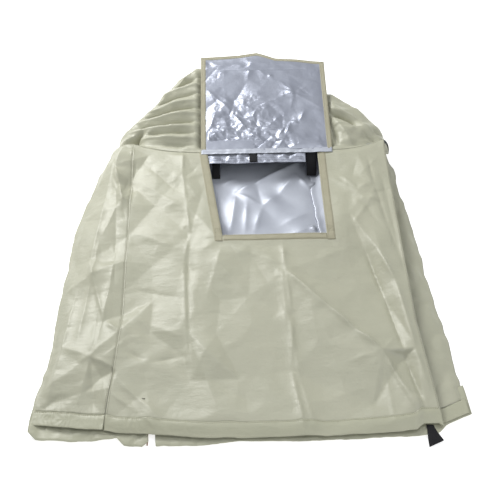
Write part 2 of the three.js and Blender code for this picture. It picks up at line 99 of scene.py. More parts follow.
hem_low, hem_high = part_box("front_hem")
ORIGIN = np.array(((hem_low.x + hem_high.x) / 2, hem_low.y, 0.0))


def metres(points):
    """Pattern millimetres to the row frame."""
    return np.asarray(points, float) / 1000 + ORIGIN


def mix(a, b, share):
    return a + (b - a) * share


def ease(low, high, value):
    """A smooth step from 0 at `low` to 1 at `high`, which may be the smaller."""
    t = np.clip((value - low) / (high - low), 0, 1)
    return t * t * (3 - 2 * t)


def table(pairs, value, column=1):
    return np.interp(value, [p[0] for p in pairs], [p[column] for p in pairs])


def line(x, y):
    """Points of an edge line; x or y may be one number."""
    return np.stack(np.broadcast_arrays(np.asarray(x, float), np.asarray(y, float)), -1)


def front_half(y):
    return HALF_WIDTH + HEM_FLARE * np.maximum(0, 1 - y / FLARE_Y)


def front_base(y):
    """Middle of the front panel's cloth."""
    return mix(HEM_LEVEL, SEAM_LEVEL, y / COVER_HEIGHT)


def back_shift(y):
    return mix(*BACK_SHIFT, y / CORNER_Y)


def back_left(y):
    return back_shift(y) - HALF_WIDTH


def back_right(y):
    return back_shift(y) + HALF_WIDTH


def left_fold(y):
    """The spread left side's outer fold."""
    return -HALF_WIDTH - table(LEFT_SPREAD, y)


def window_left(y):
    return mix(*WINDOW_LEFT, (y - SILL_Y) / (COVER_HEIGHT - SILL_Y))


def seam_y(x):
    """The top seam, which sinks towards both shoulders."""
    side = np.where(x > FLAP_CENTRE, 1, -1)
    level_end = FLAP_CENTRE + side * LEVEL_SEAM
    share = np.clip((x - level_end) / (side * HALF_WIDTH - level_end), 0, 1)
    return COVER_HEIGHT + (CORNER_Y - COVER_HEIGHT) * share ** 2


# ---- Folds and creases --------------------------------------------------------------------------

def swell(x, y, size, seed, stretch=1.0):
    """Soft random rise and fall between -1 and 1, with swells `size` long."""
    rng = np.random.default_rng(seed)
    grid = rng.uniform(-1, 1, (64, 64))
    u, v = x / size + 17.3, y / (size * stretch) + 11.7
    i, j = np.floor(u).astype(int), np.floor(v).astype(int)
    s, t = u - i, v - j
    s, t = s * s * (3 - 2 * s), t * t * (3 - 2 * t)
    a = mix(grid[i % 64, j % 64], grid[(i + 1) % 64, j % 64], s)
    b = mix(grid[i % 64, (j + 1) % 64], grid[(i + 1) % 64, (j + 1) % 64], s)
    return mix(a, b, t)


def waves(along, *kinds):
    """Soft waves along a line, the sum of kinds with a height, a size and a seed."""
    return sum(height * swell(along, 0 * along, size, seed) for height, size, seed in kinds)


def ridge(x, y, start, end, height, left, right):
    """A straight crease: sharp along its crest, easing off over `left` and `right` of its run."""
    run, climb = end[0] - start[0], end[1] - start[1]
    length = math.hypot(run, climb)
    along = ((x - start[0]) * run + (y - start[1]) * climb) / length
    off = ((y - start[1]) * run - (x - start[0]) * climb) / length
    fall = np.exp(-np.abs(off) / np.where(off > 0, left, right))
    fade = min(length / 2, 40)
    return height * fall * ease(-fade / 3, fade, along) * ease(length + fade / 3, length - fade, along)


def pinch(x, y, centre, reach, height, rays, seed):
    """Uneven creases that run together in one pinched point."""
    rng = np.random.default_rng(seed)
    angle, rise = rng.uniform(0, 2 * math.pi), 0
    for _ in range(rays):
        angle += 2 * math.pi / rays * rng.uniform(0.55, 1.45)
        length = reach * rng.uniform(0.5, 1.7)
        end = (centre[0] + length * math.cos(angle), centre[1] + length * math.sin(angle))
        tall = height * rng.choice((1, 0.6, -0.8))
        rise = rise + ridge(x, y, centre, end, tall, rng.uniform(3, 16), rng.uniform(3, 16))
    return rise


WHOLE = (-540, 460, -60, 1110)
ON_FLAP = (-190, 190, -30, 350)


def triangles(spots, stretch=1.0):
    """The triangles between scattered corners, each a place and a rise."""
    flat = [Vector((float(a), float(b) / stretch)) for a, b, _ in spots]
    _, _, faces, source, _, _ = delaunay_2d_cdt(flat, [], [], 0, 1e-6)
    return spots[[[source[c][0] for c in face] for face in faces]]


@functools.lru_cache(maxsize=None)
def crumpled(size, seed, stretch, region):
    """Triangles between scattered corners of random rise."""
    rng = np.random.default_rng(seed)
    xs = np.arange(region[0], region[1] + size, size)
    ys = np.arange(region[2], region[3] + size * stretch, size * stretch)
    gx, gy = (g.ravel() for g in np.meshgrid(xs, ys))
    gx = gx + rng.uniform(-0.46, 0.46, gx.size) * size
    gy = gy + rng.uniform(-0.46, 0.46, gy.size) * size * stretch
    return triangles(np.stack([gx, gy, rng.uniform(-1, 1, gx.size)], -1), stretch)


def facets(x, y, size, height, seed, stretch=1.0, region=WHOLE):
    """Flat crumpled facets about `size` across, like foil that was folded and smoothed out."""
    return height * over_triangles(x, y, crumpled(size, seed, stretch, region))


def over_triangles(x, y, faces):
    """Height at each place on flat triangles with known corners."""
    x, y = np.broadcast_arrays(np.asarray(x, float), np.asarray(y, float))
    low, high = faces[..., :2].min(1), faces[..., :2].max(1)
    close = (high[:, 0] >= x.min()) & (low[:, 0] <= x.max())
    close &= (high[:, 1] >= y.min()) & (low[:, 1] <= y.max())
    flat_x, flat_y = x.ravel(), y.ravel()
    order = np.argsort(flat_y, kind="stable")
    sorted_y = flat_y[order]
    result = np.zeros(flat_x.size)
    for (a, b, c), least, most in zip(faces[close], low[close], high[close]):
        area = (b[0] - a[0]) * (c[1] - a[1]) - (c[0] - a[0]) * (b[1] - a[1])
        if abs(area) < 1e-6:
            continue
        near = order[np.searchsorted(sorted_y, least[1]):np.searchsorted(sorted_y, most[1], "right")]
        near = near[(flat_x[near] >= least[0]) & (flat_x[near] <= most[0])]
        px, py = flat_x[near] - a[0], flat_y[near] - a[1]
        s = (px * (c[1] - a[1]) - py * (c[0] - a[0])) / area
        t = (py * (b[0] - a[0]) - px * (b[1] - a[1])) / area
        inside = (s >= -1e-9) & (t >= -1e-9) & (s + t <= 1 + 1e-9)
        result[near[inside]] = (a[2] + s * (b[2] - a[2]) + t * (c[2] - a[2]))[inside]
    return result.reshape(x.shape)


# Corners of the large flat facets the laid-out cloth falls into: place and rise
FACET_CORNERS = (
    (-540, -60, 0), (-540, 400, 0), (-540, 860, 0), (460, -60, 0), (460, 400, 0), (460, 860, 0),
    (-60, 860, 0), (-60, -70, 0), (-324, 746, 0), (-313, 632, -5), (-304, 474, 0), (-309, 400, 3),
    (-304, 330, -3), (-304, 179, 4), (-309, 129, 5), (-322, 79, 4), (-330, 10, 0), (-188, 739, 1),
    (-187, 651, 4), (-178, 558, 7), (-168, 470, 2), (-180, 396, 1), (-155, 278, 3), (-173, 222, 5),
    (-133, 169, 7), (-179, 163, -4), (-164, 112, -4), (-272, 716, 0), (-250, 664, 4), (-251, 560, -3),
    (-251, 390, -5), (-245, 298, -4), (-248, 220, -4), (-250, 150, 2), (-250, 90, -2), (-230, 6, 4),
    (-200, 60, -3), (-101, 385, 5), (-101, 300, -2), (-63, 115, -3), (-110, 210, 0), (-100, 50, 2),
    (-40, 300, 0), (-30, 430, 2), (44, 362, 4), (92, 295, 6), (51, 252, -3), (43, 129, -4), (63, -7, 3),
    (100, 180, 1), (179, 206, 5), (230, 158, 7), (287, 24, 4), (200, 60, -3), (150, 330, -2),
    (229, 416, -4), (252, 415, 4), (254, 296, -4), (280, 328, 5), (276, 149, -2), (298, 160, 4),
    (300, 30, 2), (180, 420, 0), (200, 520, 3), (262, 610, 4), (300, 650, 0), (240, 700, 2), (190, 660, -2),
    (-140, 600, 0), (-122, 430, 4), (-349, 672, 9), (-336, 618, 7), (-323, 556, 7), (-338, 504, 1),
    (-353, 380, 6), (-392, 405, -3), (-412, 303, -4), (-345, 246, -5), (-313, 217, 6), (-428, 190, 4),
    (-368, 158, 7), (-372, 70, -3), (-447, 231, 0), (-423, 536, 0), (-385, 600, -3), (-400, 480, 4),
    (-440, 330, 4), (-468, 60, 3), (-436, 40, -3), (-400, 14, 1), (-342, 110, -5),
)
LARGE_FACETS = triangles(np.array(FACET_CORNERS, float))
# Creases of the laid-out front and left side: start, end, height, width to the left and right of the run
LONG_CREASES = (
    ((-186, 640), (-162, 330), -5, 14, 20),
    ((-172, 420), (-164, 110), -5, 11, 16),
    ((36, 365), (36, 215), 5, 18, 12),
    ((36, 300), (60, 100), 5, 16, 12),
    ((60, 110), (84, -6), 4, 14, 10),
    ((38, 362), (132, 257), 5, 6, 20),
    ((132, 262), (229, 155), 7, 6, 20),
    ((229, 155), (300, 20), 7, 8, 26),
    ((229, 155), (236, 0), 3, 12, 6),
    ((229, 155), (150, 138), 3, 6, 8),
    ((229, 155), (262, 190), 3, 8, 8),
    ((195, 473), (267, 578), 4, 16, 8),
    ((234, 551), (269, 482), -4, 12, 10),
    ((160, 640), (250, 560), 4, 18, 10),
    ((240, 640), (292, 700), 4, 14, 8),
    ((236, 690), (216, 620), -4, 10, 12),
    ((-180, 560), (-96, 440), 4, 22, 10),
    ((-300, 640), (-180, 540), 4, 12, 24),
    ((-290, 700), (-200, 600), -5, 18, 12),
    ((-300, 480), (-190, 430), 4, 12, 20),
    ((-94, 440), (-130, 300), 4, 24, 10),
    ((-90, 436), (60, 370), 3, 10, 20),
    ((-40, 430), (40, 250), -3, 18, 14),
    ((-290, 330), (-180, 300), -4, 10, 16),
    ((-300, 260), (-170, 200), 4, 14, 30),
    ((-312, 110), (-210, 20), 6, 22, 8),
    ((-270, 60), (-200, -4), 4, 12, 8),
    ((-160, 190), (-110, 60), 4, 14, 14),
    ((-120, 110), (-20, 60), -3, 16, 12),
    ((60, 60), (190, 90), 3, 14, 18),
    ((110, 250), (150, 60), 3, 30, 12),
    ((250, 470), (300, 120), 4, 16, 22),
    ((290, 640), (306, 330), -5, 12, 12),
    ((-352, 720), (-392, 360), 7, 12, 20),
    ((-372, 460), (-398, 190), 7, 14, 22),
    ((-344, 640), (-330, 330), -6, 16, 22),
    ((-330, 430), (-358, 170), 7, 24, 10),
    ((-360, 300), (-366, 158), 5, 10, 22),
    ((-366, 158), (-312, 130), 5, 8, 14),
    ((-366, 158), (-430, 190), 4, 12, 12),
    ((-366, 158), (-384, 40), 5, 14, 10),
    ((-366, 158), (-350, 20), -5, 12, 12),
    ((-412, 330), (-446, 30), 6, 10, 14),
    ((-430, 200), (-470, 20), -4, 12, 10),
    ((-340, 120), (-324, 20), 4, 10, 10),
    ((-331, 578), (-368, 470), 5, 16, 10),
    ((-331, 578), (-312, 500), -5, 12, 10),
    ((-331, 578), (-356, 640), 5, 10, 10),
    ((-331, 578), (-300, 650), -4, 12, 12),
)
# Creases that run on through several bends: height, width to the right and left of the run, bends
BENT_CREASES = (
    (-7, 5, 6, ((229, 416), (254, 296), (276, 149), (298, 27))),
    (6, 10, 7, ((252, 415), (280, 328), (298, 160), (312, 60))),
    (5, 8, 5, ((40, 440), (44, 362), (51, 252), (43, 129), (63, -7))),
    (3, 6, 3, ((-188, 739), (-187, 651), (-178, 558), (-168, 470), (-180, 396), (-173, 222),
               (-164, 118))),
    (6, 5, 10, ((44, 362), (179, 206), (230, 158), (287, 24))),
    (11, 5, 24, ((-337, 740), (-349, 672), (-337, 618), (-325, 556))),
    (-4, 5, 8, ((-300, 700), (-306, 632), (-304, 560))),
    (-4, 6, 6, ((262, 700), (270, 600), (286, 480), (300, 400))),
    (4, 6, 10, ((190, 640), (226, 590), (262, 610))),
    (-5, 6, 8, ((-304, 179), (-250, 150), (-179, 163))),
    (4, 6, 9, ((-322, 79), (-262, 40), (-222, 4))),
    (5, 5, 12, ((-392, 405), (-345, 246), (-313, 217))),
)
# Pinched points: centre, reach, height, number of creases, seed
PINCHES = (
    ((229, 155), 34, 2.0, 5, 1), ((-366, 158), 46, 4.0, 5, 2), ((-331, 578), 50, 4.5, 6, 3),
    ((-187, 632), 44, 3.5, 5, 4), ((234, 551), 34, 3.0, 5, 5), ((267, 578), 30, 3.0, 5, 6),
    ((-94, 452), 60, 3.0, 6, 7), ((148, 452), 34, 2.4, 5, 8), ((-312, 742), 40, 5.0, 5, 9),
    ((306, 742), 34, 4.0, 5, 10), ((36, 362), 26, 2.4, 4, 11), ((300, 24), 30, 2.4, 4, 12),
    ((-452, 26), 34, 3.5, 5, 13), ((-175, 505), 40, 3.0, 4, 14), ((-292, 205), 44, 3.0, 4, 15),
)


def laid_folds(x, y):
    """How far the front and the spread left side stand above or below their smooth lie."""
    x, y = np.broadcast_arrays(np.asarray(x, float), np.asarray(y, float))
    rise = 2.5 * swell(x, y, 160, 3, 1.5)
    rise = rise + mix(1.15, 1.9, ease(-180, 0, x)) * over_triangles(x, y, LARGE_FACETS)
    rise = rise + facets(x, y, 60, 1.9, 21, 1.4) + facets(x, y, 26, 0.7, 5, 0.8)
    for start, end, height, left, right in LONG_CREASES:
        rise = rise + ridge(x, y, start, end, height * 0.8, left, right)
    for height, right, left, bends in BENT_CREASES:
        run = 0
        for start, end in zip(bends, bends[1:]):
            run = np.maximum(run, ridge(x, y, start, end, abs(height), left, right))
        rise = rise + math.copysign(1, height) * run
    for centre, reach, height, rays, seed in PINCHES:
        rise = rise + pinch(x, y, centre, reach, height * 0.75, rays, seed)
    return rise


def puckers(x, y, middle, seed, step=11.0):
    """Small gathers that the elastic pulls across a hem, fading out over the panel above it."""
    patchy = np.clip(0.45 + waves(x, (0.8, 34, seed + 200)), 0.08, 1)
    reach = np.exp(-np.abs(y - middle) / 24) * patchy
    phase = x / step + 1.6 * swell(x, y, 40, seed) + 0.9 * swell(x, y, 17, seed + 201)
    return reach * (np.abs(phase % 1 - 0.5) * 4 - 1)


# How far the hems' lower edges slide up or sag along x
FRONT_SAG = ((-330, 8), (-300, 2), (-278, -1), (-249, -4), (-162, -13), (-66, -16), (49, -18), (146, -17),
             (243, -14), (276, -11), (291, 1), (321, 1), (332, -8))
LEFT_SAG = ((-482, 34), (-415, 25), (-330, 18))
RIGHT_SAG = ((270, 0), (290, 4), (321, 4), (338, 6), (393, 27))
GROUND_SAG = ((-482, 24), (-460, 3), (-384, -2), (-304, 3), (-289, -12), (-254, -16), (-240, -3),
              (-143, -4), (-66, 1), (107, -2), (282, 2), (321, 8), (338, 24), (393, 46))
UPPER_WAVES = ((1.6, 40, 131), (0.8, 15, 132))
GROUND_WAVES = ((1.5, 34, 133), (1.0, 13, 134))


def near_hem(y):
    """The share of a hem's slide that a place higher up takes part in."""
    return ease(190, 20, y)


def front_slip(x, y):
    return (table(FRONT_SAG, x) + waves(x, *UPPER_WAVES) * ease(285, 250, x)) * near_hem(y)


def left_slip(x, y):
    return (table(LEFT_SAG, x) + waves(x, *UPPER_WAVES)) * near_hem(y)


def right_slip(x, y):
    return table(RIGHT_SAG, x) * near_hem(y)


def ground_slip(x, y):
    """The slide of the layer on the ground: the back panel and the fold behind the left side."""
    return (table(GROUND_SAG, x) + waves(x, *GROUND_WAVES)) * near_hem(y)


def slid(points, slip):
    points = np.array(points)
    points[:, 1] += slip(points[:, 0], points[:, 1])
    return points


def unslid(height, slip):
    """The same height for places that have slid along with the hem."""
    return lambda x, y: height(x, y - slip(x, y))


def settled(x, y):
    """The folds, held down along the hem and the top seam."""
    low = mix(0.5, 1, ease(-10, 60, y))
    return laid_folds(x, y) * low * mix(1, 0.25, ease(16, 0, np.abs(y - seam_y(x))))


def front_height(x, y):
    """Middle of the cloth of the front panel and its hem."""
    tight = ease(-40, -300, x) * 0.9 + 0.25
    seam_dip = -0.5 * np.exp(-((y - HEM_DEPTH) / 3.0) ** 2)
    window = ease(40, 0, np.maximum(window_left(y) - x, x - WINDOW_RIGHT)) * ease(410, 440, y)
    beside_sill = np.maximum(WINDOW_LEFT[0] - x, x - WINDOW_RIGHT)
    curl = 7 * np.exp(-((y - SILL_Y) / 46.0) ** 2) * ease(60, -20, beside_sill)
    rise = settled(x, y) * mix(1, 0.5, window) + puckers(x, y, 18, 14) * tight * 1.1
    droop = -4 * ease(24, -4, y)
    return front_base(y) + rise + curl + seam_dip + droop


# ---- Meshes --------------------------------------------------------------------------------------

def piece(name, points, faces, finishes, thickness=0.0):
    mesh = bpy.data.meshes.new(name)
    mesh.from_pydata(metres(points).tolist(), [], [list(map(int, f)) for f in faces])
    obj = bpy.data.objects.new(name, mesh)
    bpy.context.scene.collection.objects.link(obj)
    for finish in finishes:
        mesh.materials.append(finish)
    mesh.polygons.foreach_set("use_smooth", np.ones(len(mesh.polygons), bool))
    if thickness:
        solid = obj.modifiers.new("cloth", "SOLIDIFY")
        solid.thickness = thickness / 1000
        solid.offset = 0
        solid.material_offset = len(finishes) - 1
    return obj


def grid_faces(rows, cols, flip=False, wrap=False):
    """Quads between neighbouring points of a grid; `wrap` joins its last column to its first."""
    i, j = np.meshgrid(np.arange(rows - 1), np.arange(cols if wrap else cols - 1), indexing="ij")
    a = i * cols + j
    b = i * cols + (j + 1) % cols
    quads = np.stack([a, b, b + cols, a + cols], -1).reshape(-1, 4)
    return quads[:, ::-1] if flip else quads


def sheet(name, x, y, z, finishes, keep=None, flip=False, thickness=CLOTH):
    """A cloth from a grid of points, outer finish first. `keep` drops quads outside the cut."""
    quads = grid_faces(*x.shape, flip=flip)
    if keep is not None:
        quads = quads[keep.ravel()]
    used = np.unique(quads)
    order = np.full(x.size, -1)
    order[used] = np.arange(used.size)
    points = np.stack([x, y, z], -1).reshape(-1, 3)[used]
    return piece(name, points, order[quads], finishes, thickness)


def on_surface(height, xs, ys, lift=0.0):
    xs, ys = np.broadcast_arrays(np.asarray(xs, float), np.asarray(ys, float))
    return np.stack([xs, ys, height(xs, ys) + lift], -1)


def on(height):
    """Places on the cloth with this height, for `band` and for rows of stitches."""
    return functools.partial(on_surface, height)


def band(name, near, far, spot, thickness, finish, crown=0.35, across=8):
    """A closed flat band with rounded edges between two edge lines, laid on `spot(x, y, lift)`."""
    share = np.linspace(0, 1, across)
    grid = near[:, None, :] + (far - near)[:, None, :] * share[None, :, None]
    arch = np.sqrt(np.clip(1 - (2 * share - 1) ** 8, 0.02, 1)) * thickness / 2
    upper = spot(grid[..., 0], grid[..., 1], arch + crown * np.sin(share * math.pi))
    lower = spot(grid[..., 0], grid[..., 1], -arch)[:, ::-1]
    loop = np.concatenate([upper, lower], 1)
    rows, cols = loop.shape[:2]
    faces = [list(f) for f in grid_faces(rows, cols, wrap=True)]
    faces += [list(range(cols))[::-1], list(range((rows - 1) * cols, rows * cols))]
    return piece(name, loop.reshape(-1, 3), faces, [finish])


def stitches(name, lines, finish, length=3.0, gap=1.4, radius=0.42):
    """Lockstitches along lines of points, each a small spindle of thread half sunk in the cloth."""
    points, faces, sides = [], [], 5
    ring = np.array([(math.cos(a), math.sin(a)) for a in np.arange(sides) * 2 * math.pi / sides])
    for row in lines:
        steps = np.linalg.norm(np.diff(row, axis=0), axis=1)
        run = np.concatenate([[0], np.cumsum(steps)])
        for at in np.arange(gap, run[-1] - length, length + gap):
            head, tail = (np.array([np.interp(end, run, row[:, k]) for k in range(3)])
                          for end in (at, at + length))
            axis = (tail - head) / np.linalg.norm(tail - head)
            side = np.cross(axis, (0, 0, 1))
            side /= np.linalg.norm(side)
            up = np.cross(side, axis)
            base = len(points)
            for share, fat in ((0.04, 0.45), (0.3, 1), (0.7, 1), (0.96, 0.45)):
                centre = mix(head, tail, share) + up * radius * (0.15 + 0.3 * math.sin(share * math.pi))
                points.extend(centre + radius * fat * (side * c + up * s) for c, s in ring)
            faces.extend((grid_faces(4, sides, wrap=True) + base).tolist())
            faces.append([base + q for q in range(sides)][::-1])
            faces.append([base + 3 * sides + q for q in range(sides)])
    return piece(name, points, faces, [finish])


# ---- Finishes ------------------------------------------------------------------------------------

class Value:
    """A node's output that takes part in sums and products."""

    def __init__(self, finish, socket):
        self.finish, self.socket = finish, socket

    def sum_of(self, operation, *terms):
        made = self.finish.node("ShaderNodeMath", {"operation": operation}, dict(enumerate(terms)))
        return made["Value"]

    def __add__(self, other):
        return self.sum_of("ADD", self, other)

    def __mul__(self, other):
        return self.sum_of("MULTIPLY", self, other)

    __radd__, __rmul__ = __add__, __mul__


class Made:
    """A node, read by its outputs' names or numbers."""

    def __init__(self, finish, node):
        self.finish, self.made = finish, node

    def __getitem__(self, output):
        return Value(self.finish, self.made.outputs[output])


class Finish:
    """A material that is put together node by node."""

    def __init__(self, name):
        self.material = bpy.data.materials.new(name)
        self.material.use_nodes = True
        self.tree = self.material.node_tree
        self.tree.nodes.clear()

    def node(self, kind, settings=None, sockets=None):
        made = self.tree.nodes.new(kind)
        for key, setting in (settings or {}).items():
            setattr(made, key, setting)
        for key, value in (sockets or {}).items():
            if isinstance(value, Value):
                self.tree.links.new(value.socket, made.inputs[key])
            else:
                made.inputs[key].default_value = value
        return Made(self, made)

    def place(self, scale=(1000, 1000, 1000), turn=0.0):
        """Position on the piece in millimetres, or in other units through `scale`."""
        spot = self.node("ShaderNodeTexCoord")["Object"]
        sockets = {"Vector": spot, "Scale": scale, "Rotation": (0, 0, turn)}
        return self.node("ShaderNodeMapping", None, sockets)["Vector"]

    def noise(self, size, detail=3.0, rough=0.5, stretch=(1, 1, 1), turn=0.0):
        scale = tuple(1000 / size * s for s in stretch)
        sockets = {"Vector": self.place(scale, turn), "Scale": 1.0, "Detail": detail, "Roughness": rough}
        return self.node("ShaderNodeTexNoise", None, sockets)["Fac"]

    def ribs(self, pitch, turn=0.0):
        sockets = {"Vector": self.place(turn=turn), "Scale": math.pi / 10 / pitch}
        settings = {"wave_type": "BANDS", "bands_direction": "X", "wave_profile": "SIN"}
        return self.node("ShaderNodeTexWave", settings, sockets)["Fac"]

    def blend(self, share, first, second):
        return self.node("ShaderNodeMix", {"data_type": "RGBA"}, {0: share, 6: first, 7: second})[2]

    def bump(self, height, depth, strength):
        """Relief from a height between 0 and 1 that stands for `depth` millimetres."""
        sockets = {"Height": height, "Distance": depth / 1000, "Strength": strength}
        return self.node("ShaderNodeBump", None, sockets)["Normal"]

    def shade(self, **sockets):
        named = {key.replace("_", " "): value for key, value in sockets.items()}
        surface = self.node("ShaderNodeBsdfPrincipled", None, named)
        self.node("ShaderNodeOutputMaterial", None, {"Surface": surface["BSDF"]})
        return self.material


def colour(red, green, blue):
    """A colour picked in screen values, 0 to 255."""
    return (*(((c / 255 + 0.055) / 1.055) ** 2.4 for c in (red, green, blue)), 1.0)


def khaki_nylon(name, light, shade, worn=0.0):
    f = Finish(name)
    patches = f.noise(85, 3, 0.55)
    mottle = f.noise(11, 4, 0.6)
    base = f.blend(patches * 0.75 + mottle * 0.25, colour(*shade), colour(*light))
    weave = f.ribs(0.45) * f.ribs(0.45, math.pi / 2)
    ripples = f.noise(10, 3, 0.55, (0.3, 1, 1), 0.12)
    crinkle = f.noise(26, 4, 0.6, (0.8, 1, 1), 0.5)
    normal = f.bump(weave * 0.05 + ripples * 1.3 + crinkle * 1.1 + worn * mottle, 1.1, 0.6)
    return f.shade(Base_Color=base, Roughness=0.33 + 0.14 * f.noise(30, 3), Normal=normal,
                   Specular_IOR_Level=0.7, Sheen_Weight=0.12, Sheen_Roughness=0.4, Sheen_Tint=(1, 1, 0.95, 1))


def silver_coating(name, crumple, mirror, dark, light, dull):
    f = Finish(name)
    patches = f.noise(60, 3, 0.5)
    base = f.blend(patches, colour(*dark), colour(*light))
    creases = f.noise(14, 5, 0.62)
    normal = f.bump(creases * (0.75 * crumple) + f.noise(3.2, 3) * 0.1, 1.5, 0.6)
    return f.shade(Base_Color=base, Roughness=dull + 0.2 * f.noise(22, 3), Metallic=mirror + 0.2 * patches,
                   Normal=normal, Specular_IOR_Level=0.7)


def cotton_tape(name):
    f = Finish(name)
    rub = f.noise(34, 4, 0.6)
    base = f.blend(rub, colour(158, 154, 130), colour(182, 178, 156))
    weave = f.ribs(0.9) * 0.5 + f.ribs(0.7, math.pi / 2) * 0.5
    normal = f.bump(weave * 0.4 + f.noise(9, 4) * 0.9, 0.7, 0.6)
    return f.shade(Base_Color=base, Roughness=0.62 + 0.2 * f.noise(12, 3), Normal=normal,
                   Specular_IOR_Level=0.35, Sheen_Weight=0.15, Sheen_Roughness=0.5)


def black_webbing(name):
    f = Finish(name)
    twill = f.ribs(1.9, math.pi / 4) * 0.5 + f.ribs(1.9, -math.pi / 4) * 0.5
    base = f.blend(twill * 0.6 + f.noise(6, 3) * 0.4, colour(17, 17, 19), colour(40, 40, 43))
    normal = f.bump(twill, 0.5, 0.8)
    return f.shade(Base_Color=base, Roughness=0.7 + 0.2 * f.noise(4, 2), Normal=normal,
                   Specular_IOR_Level=0.3)


def ribbed_elastic(name):
    f = Finish(name)
    cords = f.ribs(1.6)
    base = f.blend(cords * 0.6 + f.noise(5, 3) * 0.4, colour(196, 194, 184), colour(232, 230, 222))
    normal = f.bump(cords + f.ribs(0.8, math.pi / 2) * 0.4, 0.5, 0.8)
    return f.shade(Base_Color=base, Roughness=0.75 + 0.15 * f.noise(6, 2), Normal=normal)


def sewing_thread(name, light, dark):
    f = Finish(name)
    twist = f.ribs(0.4, math.pi / 5)
    base = f.blend(twist * 0.5 + f.noise(14, 2) * 0.5, colour(*dark), colour(*light))
    return f.shade(Base_Color=base, Roughness=0.5 + 0.2 * twist, Normal=f.bump(twist, 0.15, 0.6))


khaki = khaki_nylon("khaki_nylon", (185, 184, 164), (168, 169, 149))
# A slightly darker copy of the khaki nylon for the hems. The darker colour is painted shade for hems whose
# edges curl down away from the light; its worn setting adds only relief.
khaki_hem_painted_shade = khaki_nylon("khaki_hem_nylon_painted_shade", (181, 181, 158), (167, 168, 146), 0.15)
silver = silver_coating("silver_lining", 0.6, 0.5, (148, 153, 167), (184, 189, 202), 0.26)
# A smoother copy of the silver lining. Its lighter base colour is painted light that brightens the shaded
# inside of the cover seen through the window.
smooth_silver_painted_light = silver_coating("silver_lining_smooth_painted_light", 0.3, 0.3, (166, 171, 183), (202, 207, 217), 0.36)
tape = cotton_tape("beige_binding_tape")
webbing = black_webbing("black_webbing")
elastic = ribbed_elastic("woven_elastic")
thread = sewing_thread("khaki_thread", (176, 174, 152), (140, 138, 118))
grey_thread = sewing_thread("grey_thread", (150, 152, 160), (110, 112, 122))
dark_thread = sewing_thread("dark_thread", (60, 58, 54), (36, 35, 33))
raw_edge = sewing_thread("frayed_raw_edge", (168, 138, 112), (120, 92, 70))

# ---- Front panel and its hem ---------------------------------------------------------------------

FRONT_COUNTS = (70, 80, 56)  # columns left of the window, across it and right of it


def front_columns(y):
    """The front panel's columns, with the window's edges among them."""
    edge = front_half(y)
    lines = (-edge, window_left(np.maximum(y, SILL_Y)), np.full_like(y, WINDOW_RIGHT), edge)
    parts = [
        mix(a[:, None], b[:, None], np.linspace(0, 1, count + 1)[None, :-1])
        for a, b, count in zip(lines, lines[1:], FRONT_COUNTS)
    ]
    return np.concatenate([*parts, edge[:, None]], 1)


def front_panel():
    low = np.linspace(HEM_DEPTH - 1, SILL_Y - 3, 140)
    high = np.linspace(SILL_Y - 3, COVER_HEIGHT, 88)[1:]
    rows = np.concatenate([low, high])
    x = front_columns(rows)
    stretch = ease(SILL_Y, COVER_HEIGHT, rows)[:, None]
    y = rows[:, None] + (seam_y(x) - COVER_HEIGHT) * stretch
    keep = np.ones((x.shape[0] - 1, x.shape[1] - 1), bool)
    keep[len(low) - 1:, FRONT_COUNTS[0]:sum(FRONT_COUNTS[:2])] = False
    z = front_height(x, y)
    return sheet("front_panel_cloth", x, y + front_slip(x, y), z, [khaki, smooth_silver_painted_light], keep)


def tunnel(name, left, right, low, high, height, gap, slip, step=3.0):
    """A hem folded into a flat tunnel: upper and lower layer, joined round the lower edge."""
    count = int(abs(right(low) - left(low)) / step)
    share = np.linspace(0, 1, count)[:, None]
    depth = np.linspace(high, low, 12)
    bend = np.linspace(0, math.pi, 5)[1:-1]
    y = np.concatenate([depth, low - 0.8 * np.sin(bend), depth[::-1]])[None, :]
    side = np.concatenate([np.ones(12), np.cos(bend), -np.ones(12)])[None, :]
    flattened = 1 - 0.75 * np.exp(-np.clip(high - y, 0, 99) / 3)
    x = mix(left(y), right(y), share)
    z = height(x, y) + side * gap / 2 * flattened
    return sheet(name, x, y + slip(x, y), z, [khaki_hem_painted_shade], flip=True, thickness=HEM_CLOTH)


def hem_elastic(name, x, low, height, slip=None, thickness=0.4):
    """The elastic band inside a hem, from `low` upwards."""
    near, far = (line(x, y + (slip(x, y) if slip else 0)) for y in (low, low + ELASTIC_WIDTH))
    return band(name, near, far, on(height), thickness, elastic, 0.0)


on_front = on(front_height)
front_cloth = front_panel()
front_hem = tunnel(
    "front_hem_tunnel", lambda y: -front_half(y), front_half, 0, HEM_DEPTH, front_height, 1.5, front_slip,
)
front_elastic = hem_elastic(
    "front_hem_elastic_band", np.linspace(-326, 326, 240), 5.5, unslid(front_height, front_slip), front_slip,
)


def front_stitches():
    rows = np.linspace(HEM_DEPTH, 744, 300)
    lines = [on_front(np.linspace(-325, 325, 300), HEM_DEPTH - 2.5, 0.9)]
    lines += [on_front(side * (front_half(rows) - 3), rows, 0.5) for side in (-1, 1)]
    return stitches("front_panel_stitches", [slid(row, front_slip) for row in lines], thread)


front_thread = front_stitches()
front_speck = stitches(
    "front_panel_thread_knot", [on_front(np.array([-257.0, -251.0]), 68, 0.7)], dark_thread, 2.4, 0.2, 0.9,
)

# ---- Window tapes and header ---------------------------------------------------------------------

rise_y = np.linspace(SILL_Y - SILL_TAPE, COVER_HEIGHT, 110)
sill_x = np.linspace(float(window_left(SILL_Y - SILL_TAPE)), WINDOW_RIGHT, 100)
left_tape = band(
    "window_left_binding", line(window_left(rise_y) - TAPE_WIDTH, rise_y), line(window_left(rise_y), rise_y),
    on_front, BINDING, tape,
)
right_tape = band(
    "window_right_binding", line(WINDOW_RIGHT, rise_y), line(WINDOW_RIGHT + TAPE_WIDTH, rise_y),
    on_front, BINDING, tape,
)
sill_tape = band(
    "window_sill_binding", line(sill_x, SILL_Y - SILL_TAPE), line(sill_x, SILL_Y),
    on_front, BINDING - 0.3, tape,
)
